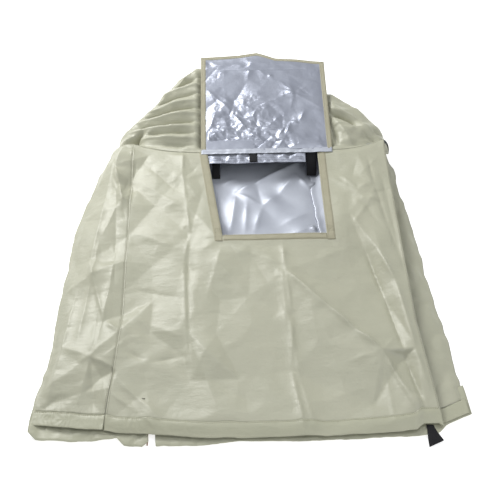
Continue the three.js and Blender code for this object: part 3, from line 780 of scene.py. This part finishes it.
# A crossed box of stitches in the sill's right corner, and the line that it is mirrored about
CROSSED_BOX = ((145, 466), (159, 466), (159, 480), (145, 480), (145, 466), (159, 480), (159, 466), (145, 480))
WINDOW_MIDDLE = 24.2


def window_stitches():
    lines = []
    for inset in (3.5, TAPE_WIDTH - 3.5):
        lines.append(on_front(window_left(rise_y) - inset, rise_y, BINDING / 2 + 0.3))
        lines.append(on_front(WINDOW_RIGHT + inset, rise_y, BINDING / 2 + 0.3))
    for inset in (3, SILL_TAPE - 3):
        lines.append(on_front(sill_x, SILL_Y - inset, BINDING / 2 + 0.2))
    for mirrored in (False, True):
        shape = np.array(CROSSED_BOX, float)
        if mirrored:
            shape[:, 0] = -shape[:, 0] + 2 * WINDOW_MIDDLE
        run = np.concatenate([np.linspace(a, b, 8)[:-1] for a, b in zip(shape, shape[1:])])
        lines.append(on_front(run[:, 0], run[:, 1], BINDING / 2 + 0.35))
    return stitches("window_binding_stitches", lines, thread)


window_thread = window_stitches()


def header_height(x, y):
    """The header strip, which hangs a little below the front's cloth."""
    sag = -1.2 - 2.6 * ease(COVER_HEIGHT, HEADER_Y, y)
    folds = facets(x, y, 17, 2.4, 44, 0.9) + 1.0 * swell(x, y, 9, 15)
    return front_base(y) + sag + folds * ease(COVER_HEIGHT, COVER_HEIGHT - 8, y)


def header():
    y = np.linspace(HEADER_Y, COVER_HEIGHT - 0.3, 18)[:, None]
    x = mix(window_left(y) + 0.3, 112, np.linspace(0, 1, 130)[None, :])
    y = y + 0 * x
    return sheet("window_header_strip", x, y, header_height(x, y), [silver, khaki])


header_cloth = header()
header_x = np.linspace(-120, 108, 120)
header_thread = stitches(
    "window_header_stitches", [on_surface(header_height, header_x, y, 0.5) for y in (697, 703)], grey_thread,
)

# ---- Back panel, seen through the window ---------------------------------------------------------

LINING_CREASES = (
    ((-61, 625), (-15, 655), 11, 14, 20), ((-15, 655), (118, 734), 13, 12, 18),
    ((2, 581), (42, 616), 12, 16, 26), ((42, 616), (89, 683), 12, 14, 26),
    ((-61, 625), (2, 581), 9, 10, 18), ((-61, 625), (-76, 500), 10, 22, 14),
    ((2, 581), (-20, 500), 9, 14, 24), ((-34, 596), (-42, 500), 5, 9, 9),
    ((-11, 650), (0, 590), -3, 9, 9), ((89, 683), (122, 628), 9, 16, 10),
    ((-92, 655), (-60, 676), 4, 6, 9), ((40, 520), (112, 560), 4, 12, 12),
    ((60, 490), (118, 512), 5, 10, 10), ((112, 514), (126, 500), 7, 6, 6),
    ((-100, 540), (-88, 480), 6, 9, 9), ((118, 640), (140, 660), 6, 8, 8),
)


def back_height(x, y):
    """The ground layer's silver side, creased where the window shows it."""
    seen = ease(0, 40, y - 440) * ease(0, 30, 760 - y)
    seen = seen * ease(-190, -120, x) * ease(200, 150, x)
    rise = (2.4 + 1.6 * swell(x, y, 60, 33) + facets(x, y, 60, 1.0, 71)) * seen
    for start, end, height, left, right in LINING_CREASES:
        rise = rise + ridge(x, y, start, end, height * 0.8, left, right) * seen
    rise = rise * mix(0.2, 1, ease(0, 18, y - GROUND_HEM))
    return np.maximum(0.6, 1.4 + rise * ease(0, 30, HALF_WIDTH + 4 - np.abs(x - back_shift(y))))


def back_panel():
    y = np.linspace(GROUND_HEM - 2, CORNER_Y - 2, 210)[:, None]
    x = back_shift(y) + np.linspace(-HALF_WIDTH, HALF_WIDTH - 10, 180)[None, :]
    y = y + 0 * x
    return sheet("back_panel_cloth", x, y + ground_slip(x, y), back_height(x, y), [smooth_silver_painted_light, khaki])


def back_hem_height(x, y):
    gathers = 0.7 * puckers(x, y, -8, 51, 13) + 0.5 * swell(x, y, 30, 52)
    return 2.4 + gathers + np.abs(facets(x, y, 26, 1.6, 53))


back_cloth = back_panel()
back_hem = tunnel(
    "back_hem_tunnel", back_left, back_right, -BACK_DROP, GROUND_HEM, back_hem_height, 1.8, ground_slip,
)
back_x = np.linspace(-226, 330, 220)
back_elastic = hem_elastic("back_hem_elastic_band", back_x, -16.5, back_hem_height, ground_slip, 0.5)
back_thread = stitches(
    "back_hem_stitches", [on_surface(back_hem_height, back_x, 5.5 + ground_slip(back_x, 5.5), 1.0)], thread,
)

# ---- Left side, spread outwards ------------------------------------------------------------------

def left_line(y):
    """The left side's line from the front seam round the outer fold and back under the front."""
    fold, lift, inner = left_fold(y) + 1.5, table(LEFT_FOLD, y), back_left(y)
    pleat = inner + mix(14, 175, y / CORNER_Y)
    return (
        (-front_half(y), front_base(y)), (fold + 2.0, lift), (fold, lift * 0.55), (fold + 3, 1.2),
        (inner - 10, 1.2), (inner - 3, 6.2), (pleat, 6.4), (pleat, 4.0), (inner + 3, 3.6),
    )


def left_height(x, y):
    """Upper layer of the spread left side."""
    seam, fold = -front_half(y), left_fold(y) + 3.5
    share = np.clip((x - seam) / (fold - seam), 0, 1)
    base = mix(front_base(y), table(LEFT_FOLD, y), share ** 1.7)
    arch = 5 * np.sin(share * math.pi) * ease(0, 120, y)
    rise = settled(x, y) * ease(1, 0.82, share)
    rise = rise + puckers(x, y, 10, 27, 9) * 1.5 * ease(1, 0.9, share)
    dip = -0.7 * np.exp(-((y - (HEM_DEPTH - LEFT_DROP)) / 3.0) ** 2)
    return np.maximum(base + arch + rise + dip, 4.0 + 2 * share)


def wrapped(rows, counts, line_at):
    """Places along a side's broken line at each row, with `counts` columns between its corners."""
    at = np.concatenate([[0], np.cumsum(counts)])
    columns = np.arange(at[-1] + 1)
    corners = [np.array(line_at(y), float) for y in rows]
    x, z = (np.array([np.interp(columns, at, row[:, k]) for row in corners]) for k in (0, 1))
    return x, rows[:, None] + 0 * x, z, at, columns[None, :]


def left_side():
    counts = (74, 4, 4, 34, 4, 24, 2, 24)
    x, y, z, at, columns = wrapped(np.linspace(HEM_DEPTH - LEFT_DROP, CORNER_Y, 216), counts, left_line)
    z = np.where(columns <= at[1], left_height(x, y), z)
    y = y + np.where(columns > at[1] + 2, ground_slip(x, y), left_slip(x, y))
    near_fold = ease(at[1] - 14, at[1], columns) * ease(at[1] + 24, at[1] + 8, columns)
    x = x + waves(y, (2.6, 46, 61), (1.6, 17, 62)) * near_fold
    return sheet("left_side_cloth", x, y, z, [khaki, smooth_silver_painted_light], flip=True)


left_cloth = left_side()
left_hem = tunnel(
    "left_side_hem_tunnel", lambda y: left_fold(y) + 2, lambda y: -front_half(y),
    -LEFT_DROP, HEM_DEPTH - LEFT_DROP, left_height, 1.6, left_slip, 2.2,
)


def ground_hem_height(x, y):
    """The hem's lower half behind the outer fold, on the ground."""
    lift = 6 * ease(-452, -474, x)
    gathers = 0.6 * swell(x, y, 24, 81) + 0.7 * puckers(x, y, 5, 82, 12)
    return 2.2 + lift + gathers + np.abs(facets(x, y, 24, 3.2, 83))


left_hem_ground = tunnel(
    "left_side_hem_tunnel_ground", lambda y: left_fold(y) + 2, lambda y: back_left(y) - BACK_NOTCH,
    -LEFT_DROP, GROUND_HEM, ground_hem_height, 1.8, ground_slip,
)
notch_y = np.linspace(-LEFT_DROP - 14, 14, 12)
notch_edge = band(
    "notch_frayed_edge", line(-246.0, notch_y), line(-243.2, notch_y),
    on(lambda x, y: 2.0 + 0.3 * swell(x, y, 5, 83)), 2.2, raw_edge, 0.2, 5,
)
left_elastic = hem_elastic(
    "left_side_elastic_band", np.linspace(-474, -336, 90), -4.5, unslid(left_height, left_slip), left_slip,
)
left_rows = np.linspace(HEM_DEPTH, 748, 300)
left_lines = (
    on_surface(left_height, np.linspace(-474, -333, 110), HEM_DEPTH - LEFT_DROP - 2.5, 1.1),
    on_surface(left_height, -front_half(left_rows) - 3, left_rows, 0.5),
)
left_thread = stitches("left_side_stitches", [slid(row, left_slip) for row in left_lines], thread)

# ---- Right side, tucked in under the front --------------------------------------------------------

def tuck_line(y):
    """Where the tucked side turns back inside the cover."""
    wander = waves(y, (5, 40, 141), (2, 14, 142))
    return HALF_WIDTH - mix(150, 180, y / CORNER_Y) - 14 * ease(420, 520, y) + wander


def right_side():
    rows = np.linspace(HEM_DEPTH, CORNER_Y, 160)
    levels = front_height(front_half(rows) - 1, rows)

    def line_at(y):
        edge, seam, tuck = front_half(y), np.interp(y, rows, levels), tuck_line(y)
        return ((edge, seam), (edge + 0.4, seam - 3.4), (tuck, 6.6), (tuck + 1.6, 4.8),
                (back_right(y) - 3, 4.4))

    x, y, z, at, columns = wrapped(rows, (3, 44, 3, 66), line_at)
    upper = ease(at[1], at[1] + 8, columns) * ease(at[2], at[2] - 4, columns)
    lower = ease(at[3] + 2, at[3] + 14, columns)
    z = z - upper * (2.0 + 1.6 * swell(x, y, 50, 91)) * ease(0, 200, y)
    z = np.where((columns >= 1) & (columns <= at[2]), np.minimum(z, front_height(x, y) - 3.2), z)
    out = ease(HALF_WIDTH - 20, HALF_WIDTH + 20, x) * lower
    ruffle = 3.0 * swell(x, y, 40, 92) + facets(x, y, 46, 6.0, 93, 2.2) + waves(y, (3.0, 40, 94))
    z = z + lower * (0.9 + 0.8 * swell(x, y, 44, 95)) + out * np.abs(ruffle)
    x = x + waves(y, (4.0, 64, 96), (2.4, 22, 135)) * ease(at[4] - 16, at[4], columns)
    z = mix(z, 1.4, ease(at[4] - 6, at[4], columns))
    y = y + np.where(columns < at[2], front_slip(x, y), 0) + right_slip(x, y) * lower
    return sheet("right_side_cloth", x, y, z, [khaki, smooth_silver_painted_light])


def right_hem_height(x, y):
    return 6.4 + 1.2 * swell(x, y, 36, 97) + puckers(x, y, 15, 98, 12) + 2.2 * ease(330, 380, x)


right_cloth = right_side()
right_hem = tunnel(
    "right_side_hem_tunnel", lambda y: 160 + 0 * y, lambda y: back_right(y) - 3,
    0, HEM_DEPTH, right_hem_height, 1.8, right_slip,
)
gusset_y = np.linspace(452, 716, 120)
gusset_line = np.stack([tuck_line(gusset_y) + 1.2, gusset_y, 0 * gusset_y + 6.9], -1)
gusset_thread = stitches("lining_gusset_stitches", [gusset_line], grey_thread, 4.5, 0.6, 0.55)
right_elastic = hem_elastic("right_side_elastic_band", np.linspace(170, 318, 90), 5.5, right_hem_height)

# ---- Top panel, heaped beyond the seam ------------------------------------------------------------

# Folds of the heap: start, end, height, width to the left and to the right
HEAP_CREASES = (
    ((180, 846), (256, 806), -20, 7, 6), ((176, 862), (262, 826), 7, 9, 8),
    ((184, 828), (262, 776), 7, 8, 16), ((190, 820), (230, 738), 7, 14, 5),
    ((186, 806), (194, 734), -12, 6, 6), ((256, 826), (300, 782), 5, 12, 10),
    ((262, 790), (306, 760), -7, 8, 8), ((286, 806), (316, 790), -6, 5, 6),
    ((-150, 1030), (-205, 985), -8, 8, 9), ((-150, 1000), (-222, 942), 7, 9, 9),
    ((-146, 968), (-236, 944), -9, 6, 9), ((-146, 942), (-262, 918), 7, 9, 8),
    ((-146, 916), (-268, 896), -10, 6, 8), ((-146, 890), (-290, 872), 7, 10, 9),
    ((-146, 868), (-296, 856), -10, 6, 8), ((-146, 846), (-316, 838), 8, 10, 8),
    ((-146, 822), (-318, 818), -10, 6, 9), ((-146, 800), (-330, 806), 7, 10, 9),
    ((-146, 782), (-290, 790), -8, 5, 9), ((-150, 762), (-310, 776), 6, 9, 9),
    ((-150, 744), (-260, 752), -5, 6, 8),
    ((-300, 800), (-352, 768), 9, 9, 9), ((-290, 800), (-330, 742), -26, 8, 9),
    ((-262, 800), (-318, 768), 8, 8, 6),
    ((60, 1050), (150, 1020), -7, 9, 9), ((-60, 1056), (40, 1048), 5, 12, 9),
)


def heap_top(x, y, beyond, share):
    """Height of the heaped cloth, `beyond` the seam and at a `share` of its width."""
    fold = table(HEAP_OUTLINE, beyond, 3)
    full = np.interp(beyond, (0, HEAP_CREST, 318, HEAP_LENGTH), (52.4, 97, 87, 50))
    shoulder = ease(0, 0.2, np.minimum(share, 1 - share))
    top = mix(fold, full, shoulder)
    rise = 3.0 * swell(x, y, 60, 101) + facets(x, y, 40, 3.6, 102, 0.7) + facets(x, y, 17, 1.5, 103, 0.6)
    for start, end, height, left, right in HEAP_CREASES:
        height = height * (1.8 if height < 0 else 1.3)
        rise = rise + ridge(x, y, start, end, height, 0.8 * left, 0.8 * right)
    under_flap = ease(178, 158, np.abs(x - FLAP_CENTRE)) * ease(4, 22, beyond)
    return top + rise * mix(ease(0, 22, beyond), 0.3, under_flap) - 12 * under_flap


def rounded(inset, radius):
    """A quarter-round edge: 0 at the very edge, 1 from `radius` inwards."""
    return np.sqrt(1 - (1 - np.clip(inset / radius, 0, 1)) ** 2)


def closing_walls(crest_x, crest_z):
    """The folds that close the cover where its sides end: under the right tuck and at the left fold."""
    count = 30
    right_x = np.linspace(205, MOUTH_RIGHT - 0.5, count)
    sunk = front_height(right_x, 740) - mix(20, 15, ease(260, 300, right_x))
    right_top = np.where(right_x < HALF_WIDTH, sunk, np.interp(right_x, crest_x, crest_z) - 9)
    left_x = np.linspace(left_fold(CORNER_Y) + 3, -front_half(CORNER_Y), count)
    left_top = left_height(left_x, CORNER_Y + 0 * left_x) - 1.2
    for across, crest, turned in ((right_x, right_top, False), (left_x, left_top, True)):
        levels = (np.maximum(crest, 1.5), 0 * across + 1.0)
        points = [np.stack([across, 0 * across + CORNER_Y + 0.8, level], -1) for level in levels]
        quads = [[k, count + k, count + 1 + k, 1 + k] for k in range(count - 1)]
        yield np.concatenate(points), [quad[::-1] for quad in quads] if turned else quads


def heap():
    beyond = np.concatenate([np.linspace(0, 300, 112), np.linspace(303, HEAP_LENGTH, 16)])[:, None]
    rim = np.array([0, 0.002, 0.006, 0.012, 0.02, 0.03, 0.04])
    share = np.concatenate([rim, np.linspace(0.05, 0.95, 170), 1 - rim[::-1]])[None, :]
    scallop = waves(beyond, (3.4, 34, 104), (2.0, 15, 105)) * ease(6, 60, beyond)
    left = MOUTH_LEFT + table(HEAP_OUTLINE, beyond, 1) + scallop
    right = MOUTH_RIGHT - table(HEAP_OUTLINE, beyond, 2) - 0.6 * scallop
    mouth = mix(MOUTH_LEFT, MOUTH_RIGHT, share)
    x = mix(left, right, share)
    y = mix(seam_y(mouth) + 0.3, COVER_HEIGHT + HEAP_LENGTH, beyond / HEAP_LENGTH)
    wall = rounded(np.minimum(x - left, right - x), 26)
    end = rounded(HEAP_LENGTH - beyond, 34)
    at_left = left_height(mouth, CORNER_Y + 0 * mouth)
    sewn = np.where(mouth < -HALF_WIDTH, at_left, front_height(mouth, seam_y(mouth)))
    z = mix(sewn + 0.5, heap_top(x, y, beyond, share), ease(0, 12, beyond))
    sewn_wall = np.where(np.abs(mouth) < HALF_WIDTH, 1, wall)
    z = 1.0 + (z - 1.0) * mix(sewn_wall, wall, ease(0, 6, beyond)) * end
    crest = x[0], z[0]
    span = np.linspace(1, 0, 40)[None, 1:-1]
    ground_x = mix(left, right, span)
    ground_y = mix(CORNER_Y + 0.3, COVER_HEIGHT + HEAP_LENGTH, beyond / HEAP_LENGTH) + 0 * ground_x
    ground_z = np.full_like(ground_x, 0.6)
    x, y, z = (np.concatenate(pair, 1) for pair in ((x, ground_x), (y, ground_y), (z, ground_z)))
    faces = [list(f) for f in grid_faces(*x.shape, wrap=True)]
    points = np.stack([x, y, z], -1).reshape(-1, 3)
    for wall_points, quads in closing_walls(*crest):
        faces += [[len(points) + k for k in quad] for quad in quads]
        points = np.concatenate([points, wall_points])
    return piece("top_panel_cloth", points, faces, [khaki, smooth_silver_painted_light], CLOTH)


heap_cloth = heap()

# ---- Window flap, thrown back ---------------------------------------------------------------------
# p runs across the flap from its centre line, q from the fold line towards its free edge.

FLAP_CREASES = (
    ((-19, 136), (65, 178), 8, 13, 7), ((65, 178), (79, 180), 4, 8, 8),
    ((-32, 282), (-42, 224), 5, 6, 12), ((-42, 224), (-84, 142), -4, 10, 12),
    ((-32, 282), (-147, 266), 4, 6, 16),
    ((-32, 282), (12, 236), 6, 14, 7), ((12, 236), (24, 244), 6, 5, 5),
    ((79, 180), (33, 196), 4, 7, 7), ((79, 180), (39, 225), 4, 9, 7), ((79, 180), (125, 168), -4, 7, 7),
    ((79, 180), (156, 120), 4, 18, 8), ((84, 205), (118, 172), -4, 7, 6), ((130, 235), (150, 268), 4, 10, 5),
    ((-146, 195), (-80, 117), 7, 12, 6), ((-80, 117), (-43, 55), 7, 6, 8), ((-146, 195), (-112, 130), 4, 6, 9),
    ((-80, 142), (-30, 140), 4, 10, 6), ((-80, 142), (-90, 110), -4, 6, 6),
    ((-156, 34), (-121, 131), 6, 6, 9), ((-156, 34), (-81, 74), 8, 9, 14), ((-156, 30), (-60, 44), -6, 5, 8),
    ((-19, 136), (-34, 97), 5, 6, 9), ((-34, 97), (-12, 68), -4, 6, 6), ((-12, 68), (39, 65), 6, 7, 5),
    ((102, 125), (83, 82), 6, 8, 8), ((83, 82), (64, 89), 6, 7, 7), ((64, 89), (47, 41), 8, 7, 5),
    ((47, 41), (18, -4), 6, 6, 5), ((52, 76), (28, 41), 7, 6, 6), ((28, 41), (10, 4), -5, 4, 5),
    ((6, 39), (-33, 5), -8, 3, 3), ((52, 4), (152, 23), 8, 12, 7), ((44, 30), (60, 2), -4, 5, 5),
    ((-130, 60), (-118, 10), 5, 6, 6), ((-100, 40), (-70, 8), 5, 6, 6), ((-150, 108), (-100, 100), 4, 9, 9),
    ((-130, 255), (-120, 235), 4, 7, 7), ((-142, 245), (-95, 262), 4, 6, 6), ((0, 150), (40, 120), -3, 14, 14),
)
FLAP_PINCHES = (
    ((-32, 282), 34, 3.4, 5, 21), ((79, 180), 38, 3.6, 6, 22), ((-33, 61), 34, 4.6, 7, 23),
    ((-80, 142), 30, 3.4, 5, 24), ((-154, 32), 40, 3.4, 5, 25), ((47, 50), 26, 3.4, 5, 26),
    ((-121, 131), 28, 3.0, 4, 27),
)


FLAP_BULGE = 12  # the most that the flap's creases may rise


def room_below(p, q):
    """How far the cloth may bulge before the closed flap would meet the front panel."""
    x, y = FLAP_CENTRE + p, COVER_HEIGHT - q
    closed = FOLD_Z - q * math.sin(CLOSED_DIP)
    solid = closed - front_height(x, y) - BINDING / 2 - 2.4
    inside = ease(-4, 10, np.minimum(x - window_left(y), WINDOW_RIGHT - x))
    inside = inside * ease(-2, 10, np.minimum(y - SILL_Y, HEADER_Y - y))
    return mix(np.clip(solid, -5, FLAP_BULGE), FLAP_BULGE, inside)


def flap_relief(p, q):
    """How far the flap's cloth stands above its plane."""
    fold_crush = ease(75, 20, q + 0.12 * p) + 0.9 * ease(110, 60, np.hypot((p + 50) * 0.8, q - 95))
    crush = np.clip(fold_crush, 0, 1.3)
    rise = 1.5 * swell(p, q, 70, 111)
    crumples = ((44, 1.4, 112, 1), (18, 0.3, 113, 1), (15, 2.1, 114, crush), (8, 0.9, 115, crush))
    for size, height, seed, share in crumples:
        rise = rise + share * facets(p, q, size, height, seed, region=ON_FLAP)
    for start, end, height, left, right in FLAP_CREASES:
        rise = rise + mix(0.8, 0.42, ease(90, 150, q)) * ridge(p, q, start, end, height, left, right)
    for centre, reach, height, rays, seed in FLAP_PINCHES:
        rise = rise + pinch(p, q, centre, reach, height * 0.55, rays, seed)
    rise = rise * ease(-2, 12, q)  # flat at the fold line
    edges = ease(0, 26, FLAP_HALF - np.abs(p)) * ease(0, 30, FLAP_LENGTH - q)
    flutter = 2.2 * swell(p, q, 55, 116) * (1 - edges) * ease(0, 60, q)
    rise = np.clip(rise * mix(0.22, 1, edges) + flutter, -6.5, FLAP_BULGE)
    return np.minimum(rise, room_below(p, q))


def flap_far(p):
    """The flap's uneven free edge."""
    reach = ((-162, 4), (-60, 11), (-14, 18), (10, 8), (34, -3), (90, -8), (162, -20))
    return FLAP_LENGTH + table(reach, p)


def flap_spot(p, q, lift=0.0):
    """A place on the flap's cloth, `lift` above it."""
    q = np.asarray(q, float) * mix(1, flap_far(p) / FLAP_LENGTH, ease(120, 300, q))
    h = flap_relief(p, q) + lift
    y = COVER_HEIGHT + q * math.cos(FLAP_SLOPE) - h * math.sin(FLAP_SLOPE)
    z = FOLD_Z + q * math.sin(FLAP_SLOPE) + h * math.cos(FLAP_SLOPE)
    return np.stack(np.broadcast_arrays(FLAP_CENTRE + p, y, z), -1)


def flap_band(name, near, far):
    """A binding on the flap between two lines of (p, q)."""
    return band(name, near, far, flap_spot, BINDING, tape, 0.0, 7)


def flap_cloth():
    p = np.linspace(-FLAP_HALF + 3, FLAP_HALF - 3, 170)[None, :]
    q = np.linspace(2.5, FLAP_LENGTH - 3, 156)[:, None]
    p, q = np.broadcast_arrays(p, q)
    x, y, z = np.moveaxis(flap_spot(p, q), -1, 0)
    return sheet("flap_cloth", x, y, z, [silver, khaki])


flap_panel = flap_cloth()
long_q = np.linspace(3, FLAP_LENGTH - FLAP_BINDING + 1, 130)
wide_p = np.linspace(-FLAP_HALF, FLAP_HALF, 130)
flap_left = flap_band(
    "flap_left_binding", line(-FLAP_HALF, long_q), line(-FLAP_HALF + FLAP_TAPE, long_q),
)
flap_right = flap_band(
    "flap_right_binding", line(FLAP_HALF - FLAP_TAPE, long_q), line(FLAP_HALF, long_q),
)
flap_end = flap_band(
    "flap_end_binding_tape", line(wide_p, FLAP_LENGTH - FLAP_BINDING), line(wide_p, FLAP_LENGTH),
)
flap_lines = [
    flap_spot(side * (FLAP_HALF - inset) + 0 * long_q, long_q, BINDING / 2 + 0.15)
    for side in (-1, 1) for inset in (2.6, FLAP_TAPE - 2.6)
]
flap_lines.append(flap_spot(wide_p, wide_p * 0 + FLAP_LENGTH - 3.2, BINDING / 2 + 0.15))
flap_thread = stitches("flap_binding_stitches", flap_lines, thread)
loose_end = stitches(
    "flap_thread_end", [flap_spot(np.array([-56.0, -52, -47]), np.array([305.0, 307, 306]), 1.0)],
    dark_thread, 2.6, 0.4, 0.8,
)


def flap_root():
    """The flap's sewn root, which bends at the fold line."""
    p = np.linspace(-FLAP_HALF + 1, FLAP_HALF - 1, 120)[None, :]
    y = np.linspace(714.5, 728.5, 9)[:, None]
    on_flap = ease(718.5, 724, y)
    ripple = 0.7 * swell(p, y, 12, 121) + 0.5 * swell(p, y, 5, 122)
    sewn = front_base(y) + 2.4 + ripple
    free = FOLD_Z + (y - COVER_HEIGHT) * math.tan(FLAP_SLOPE) + ripple * 0.6 + 0.2
    z = mix(sewn, free, on_flap)
    return sheet("flap_root_cloth", FLAP_CENTRE + p + 0 * y, y + 0 * p, z, [smooth_silver_painted_light, khaki])


root_cloth = flap_root()

# ---- Webbing -------------------------------------------------------------------------------------

def strap(name, centre, width, near_y, far_y, height, thickness=1.6, flare=0.0, skew=0.0, slant=0.0):
    """A webbing end between two lengths along the cover, with a softly cupped surface."""
    share = np.linspace(0, 1, 26)
    half = width / 2 * (1 + flare * (share - 0.5) * 2)
    middle = centre + skew * share
    y = mix(near_y, far_y, share)
    curl = 1.6 * flare * np.sin(share * 7)
    widened, slanted = (1.3, 3) if flare else (1, 1)
    left = line(middle - half + curl, y - slant * share)
    right = line(middle + half * mix(1, widened, share), y + slant * share * slanted)
    if far_y < near_y:
        left, right = right, left

    def cupped(x, y):
        return height(x, y) + 0.3 * np.cos((x - centre) / width * 5)

    return band(name, left, right, on(cupped), thickness, webbing, 0.15, 9)


def hanging(level):
    """The slope of an inner strap, down from its sewn end at `level`."""
    slope = math.tan(math.radians(40))
    return lambda x, y: level - (720.6 - y) * slope + 1.6 * np.sin((720 - y) / 46 * math.pi)


def tie_height(x, y):
    return front_base(y) + 0.7 + 0.5 * np.sin((y - 690) / 5)


def tab_height(x, y):
    return 8.2 + (y + 2) * 0.09 + 1.2 * np.sin(y / 7)


tie_strap = strap("centre_tie_webbing", -16, 19.5, 688.5, 718, tie_height)
left_strap = strap("left_inner_webbing", -108, 19.5, 720, 675, hanging(46.6))
right_strap = strap("right_inner_webbing", 127, 24.5, 720, 675, hanging(50.4))
pull_tab = strap("hem_pull_webbing", 304, 20, -0.8, -42, tab_height, 2.3, 0.32, 5, 3)

# ---- What each piece stands for and rides on ------------------------------------------------------

RIDES = (
    (front_cloth, "cover", "cloth", ("front_panel",)),
    (front_hem, "cover", "hem_cloth", ("front_hem",)),
    (front_elastic, "cover", "elastic", ("front_hem_elastic",)),
    (front_thread, "cover", "cloth", ()),
    (front_speck, "cover", "cloth", ()),
    (left_tape, "cover", "tape", ("window_left_tape",)),
    (right_tape, "cover", "tape", ("window_right_tape",)),
    (sill_tape, "cover", "tape", ("window_sill_tape",)),
    (window_thread, "cover", "tape", ()),
    (header_cloth, "cover", "lining", ("window_header",)),
    (header_thread, "cover", "lining", ()),
    (back_cloth, "cover", "cloth", ("back_panel",)),
    (back_hem, "cover", "hem_cloth", ("back_hem",)),
    (back_elastic, "cover", "elastic", ("back_hem_elastic",)),
    (back_thread, "cover", "hem_cloth", ()),
    (left_cloth, "cover", "cloth", ("left_side_panel",)),
    (left_hem, "cover", "hem_cloth", ("left_side_hem",)),
    (left_hem_ground, "cover", "hem_cloth", ("left_side_hem",)),
    (notch_edge, "cover", "hem_cloth", ()),
    (left_elastic, "cover", "elastic", ("left_side_elastic",)),
    (left_thread, "cover", "cloth", ()),
    (right_cloth, "cover", "cloth", ("right_side_panel",)),
    (right_hem, "cover", "hem_cloth", ("right_side_hem",)),
    (gusset_thread, "cover", "lining", ()),
    (right_elastic, "cover", "elastic", ("right_side_elastic",)),
    (heap_cloth, "cover", "cloth", ("top_panel",)),
    (flap_panel, "flap", "lining", ("flap_panel",)),
    (flap_left, "flap", "tape", ("flap_left_tape",)),
    (flap_right, "flap", "tape", ("flap_right_tape",)),
    (flap_end, "flap", "tape", ("flap_end_binding",)),
    (flap_thread, "flap", "tape", ()),
    (loose_end, "flap", "tape", ()),
    (tie_strap, "tie_strap", "webbing", ("centre_tie_strap",)),
    (left_strap, "left_strap", "webbing", ("left_inner_strap",)),
    (right_strap, "right_strap", "webbing", ("right_inner_strap",)),
    (pull_tab, "pull_tab", "webbing", ("hem_pull_tab",)),
)
for obj, body, slot, nodes in RIDES:
    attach(obj, body)
    if nodes:
        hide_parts(*nodes)

tuple(metres((FLAP_CENTRE, 719.5, FOLD_Z)))
tuple(metres((FLAP_CENTRE, 725, FOLD_Z)))
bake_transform(root_cloth)

# ---- Floor, light and camera ----------------------------------------------------------------------

def floor():
    mesh = bpy.data.meshes.new("floor")
    made = bmesh.new()
    bmesh.ops.create_grid(made, x_segments=2, y_segments=2, size=8)
    made.to_mesh(mesh)
    made.free()
    obj = bpy.data.objects.new("floor", mesh)
    obj.location = (0, 0, -0.0005)
    bpy.context.scene.collection.objects.link(obj)
    f = Finish("pale_floor")
    mesh.materials.append(f.shade(Base_Color=(0.8, 0.8, 0.8, 1), Roughness=0.9, Specular_IOR_Level=0.1,
                                  Emission_Color=(1, 1, 1, 1), Emission_Strength=0.62))


def soft_box(name, place, aim, size, power, tint=(1, 1, 1)):
    light = bpy.data.lights.new(name, "AREA")
    light.shape = "RECTANGLE"
    light.size, light.size_y = size
    light.energy = power
    light.color = tint
    obj = bpy.data.objects.new(name, light)
    bpy.context.scene.collection.objects.link(obj)
    obj.location = place
    obj.rotation_mode = "QUATERNION"
    obj.rotation_quaternion = (Vector(aim) - Vector(place)).to_track_quat("-Z", "Y")


def studio():
    soft_box("key_box", (-1.2, 1.5, 1.7), (0, 0, 0), (1.6, 1.0), 56, (1, 1, 0.99))
    soft_box("fill_box", (1.7, -1.3, 1.8), (0, 0, 0), (1.8, 1.8), 16, (0.99, 1, 1))
    soft_box("top_box", (0.2, 0.1, 2.6), (0, 0, 0), (1.2, 1.2), 6)
    world = bpy.data.worlds.new("studio")
    bpy.context.scene.world = world
    world.use_nodes = True
    back = world.node_tree.nodes["Background"]
    back.inputs["Color"].default_value = (0.97, 0.98, 1.0, 1)
    back.inputs["Strength"].default_value = 0.42


def camera():
    elevation, azimuth, distance = math.radians(51.2), math.radians(-1.8), 1.84
    level = math.cos(elevation)
    back = Vector((math.sin(azimuth) * level, -math.cos(azimuth) * level, math.sin(elevation)))
    data = bpy.data.cameras.new("camera")
    data.lens, data.sensor_width = 57.6, 36
    obj = bpy.data.objects.new("camera", data)
    bpy.context.scene.collection.objects.link(obj)
    obj.rotation_mode = "QUATERNION"
    obj.rotation_quaternion = (-back).to_track_quat("-Z", "Y")
    obj.location = Vector((0.0117, -0.0549, 0)) + back * distance
    bpy.context.scene.camera = obj


floor()
studio()
camera()
bpy.context.scene.view_settings.view_transform = "Standard"
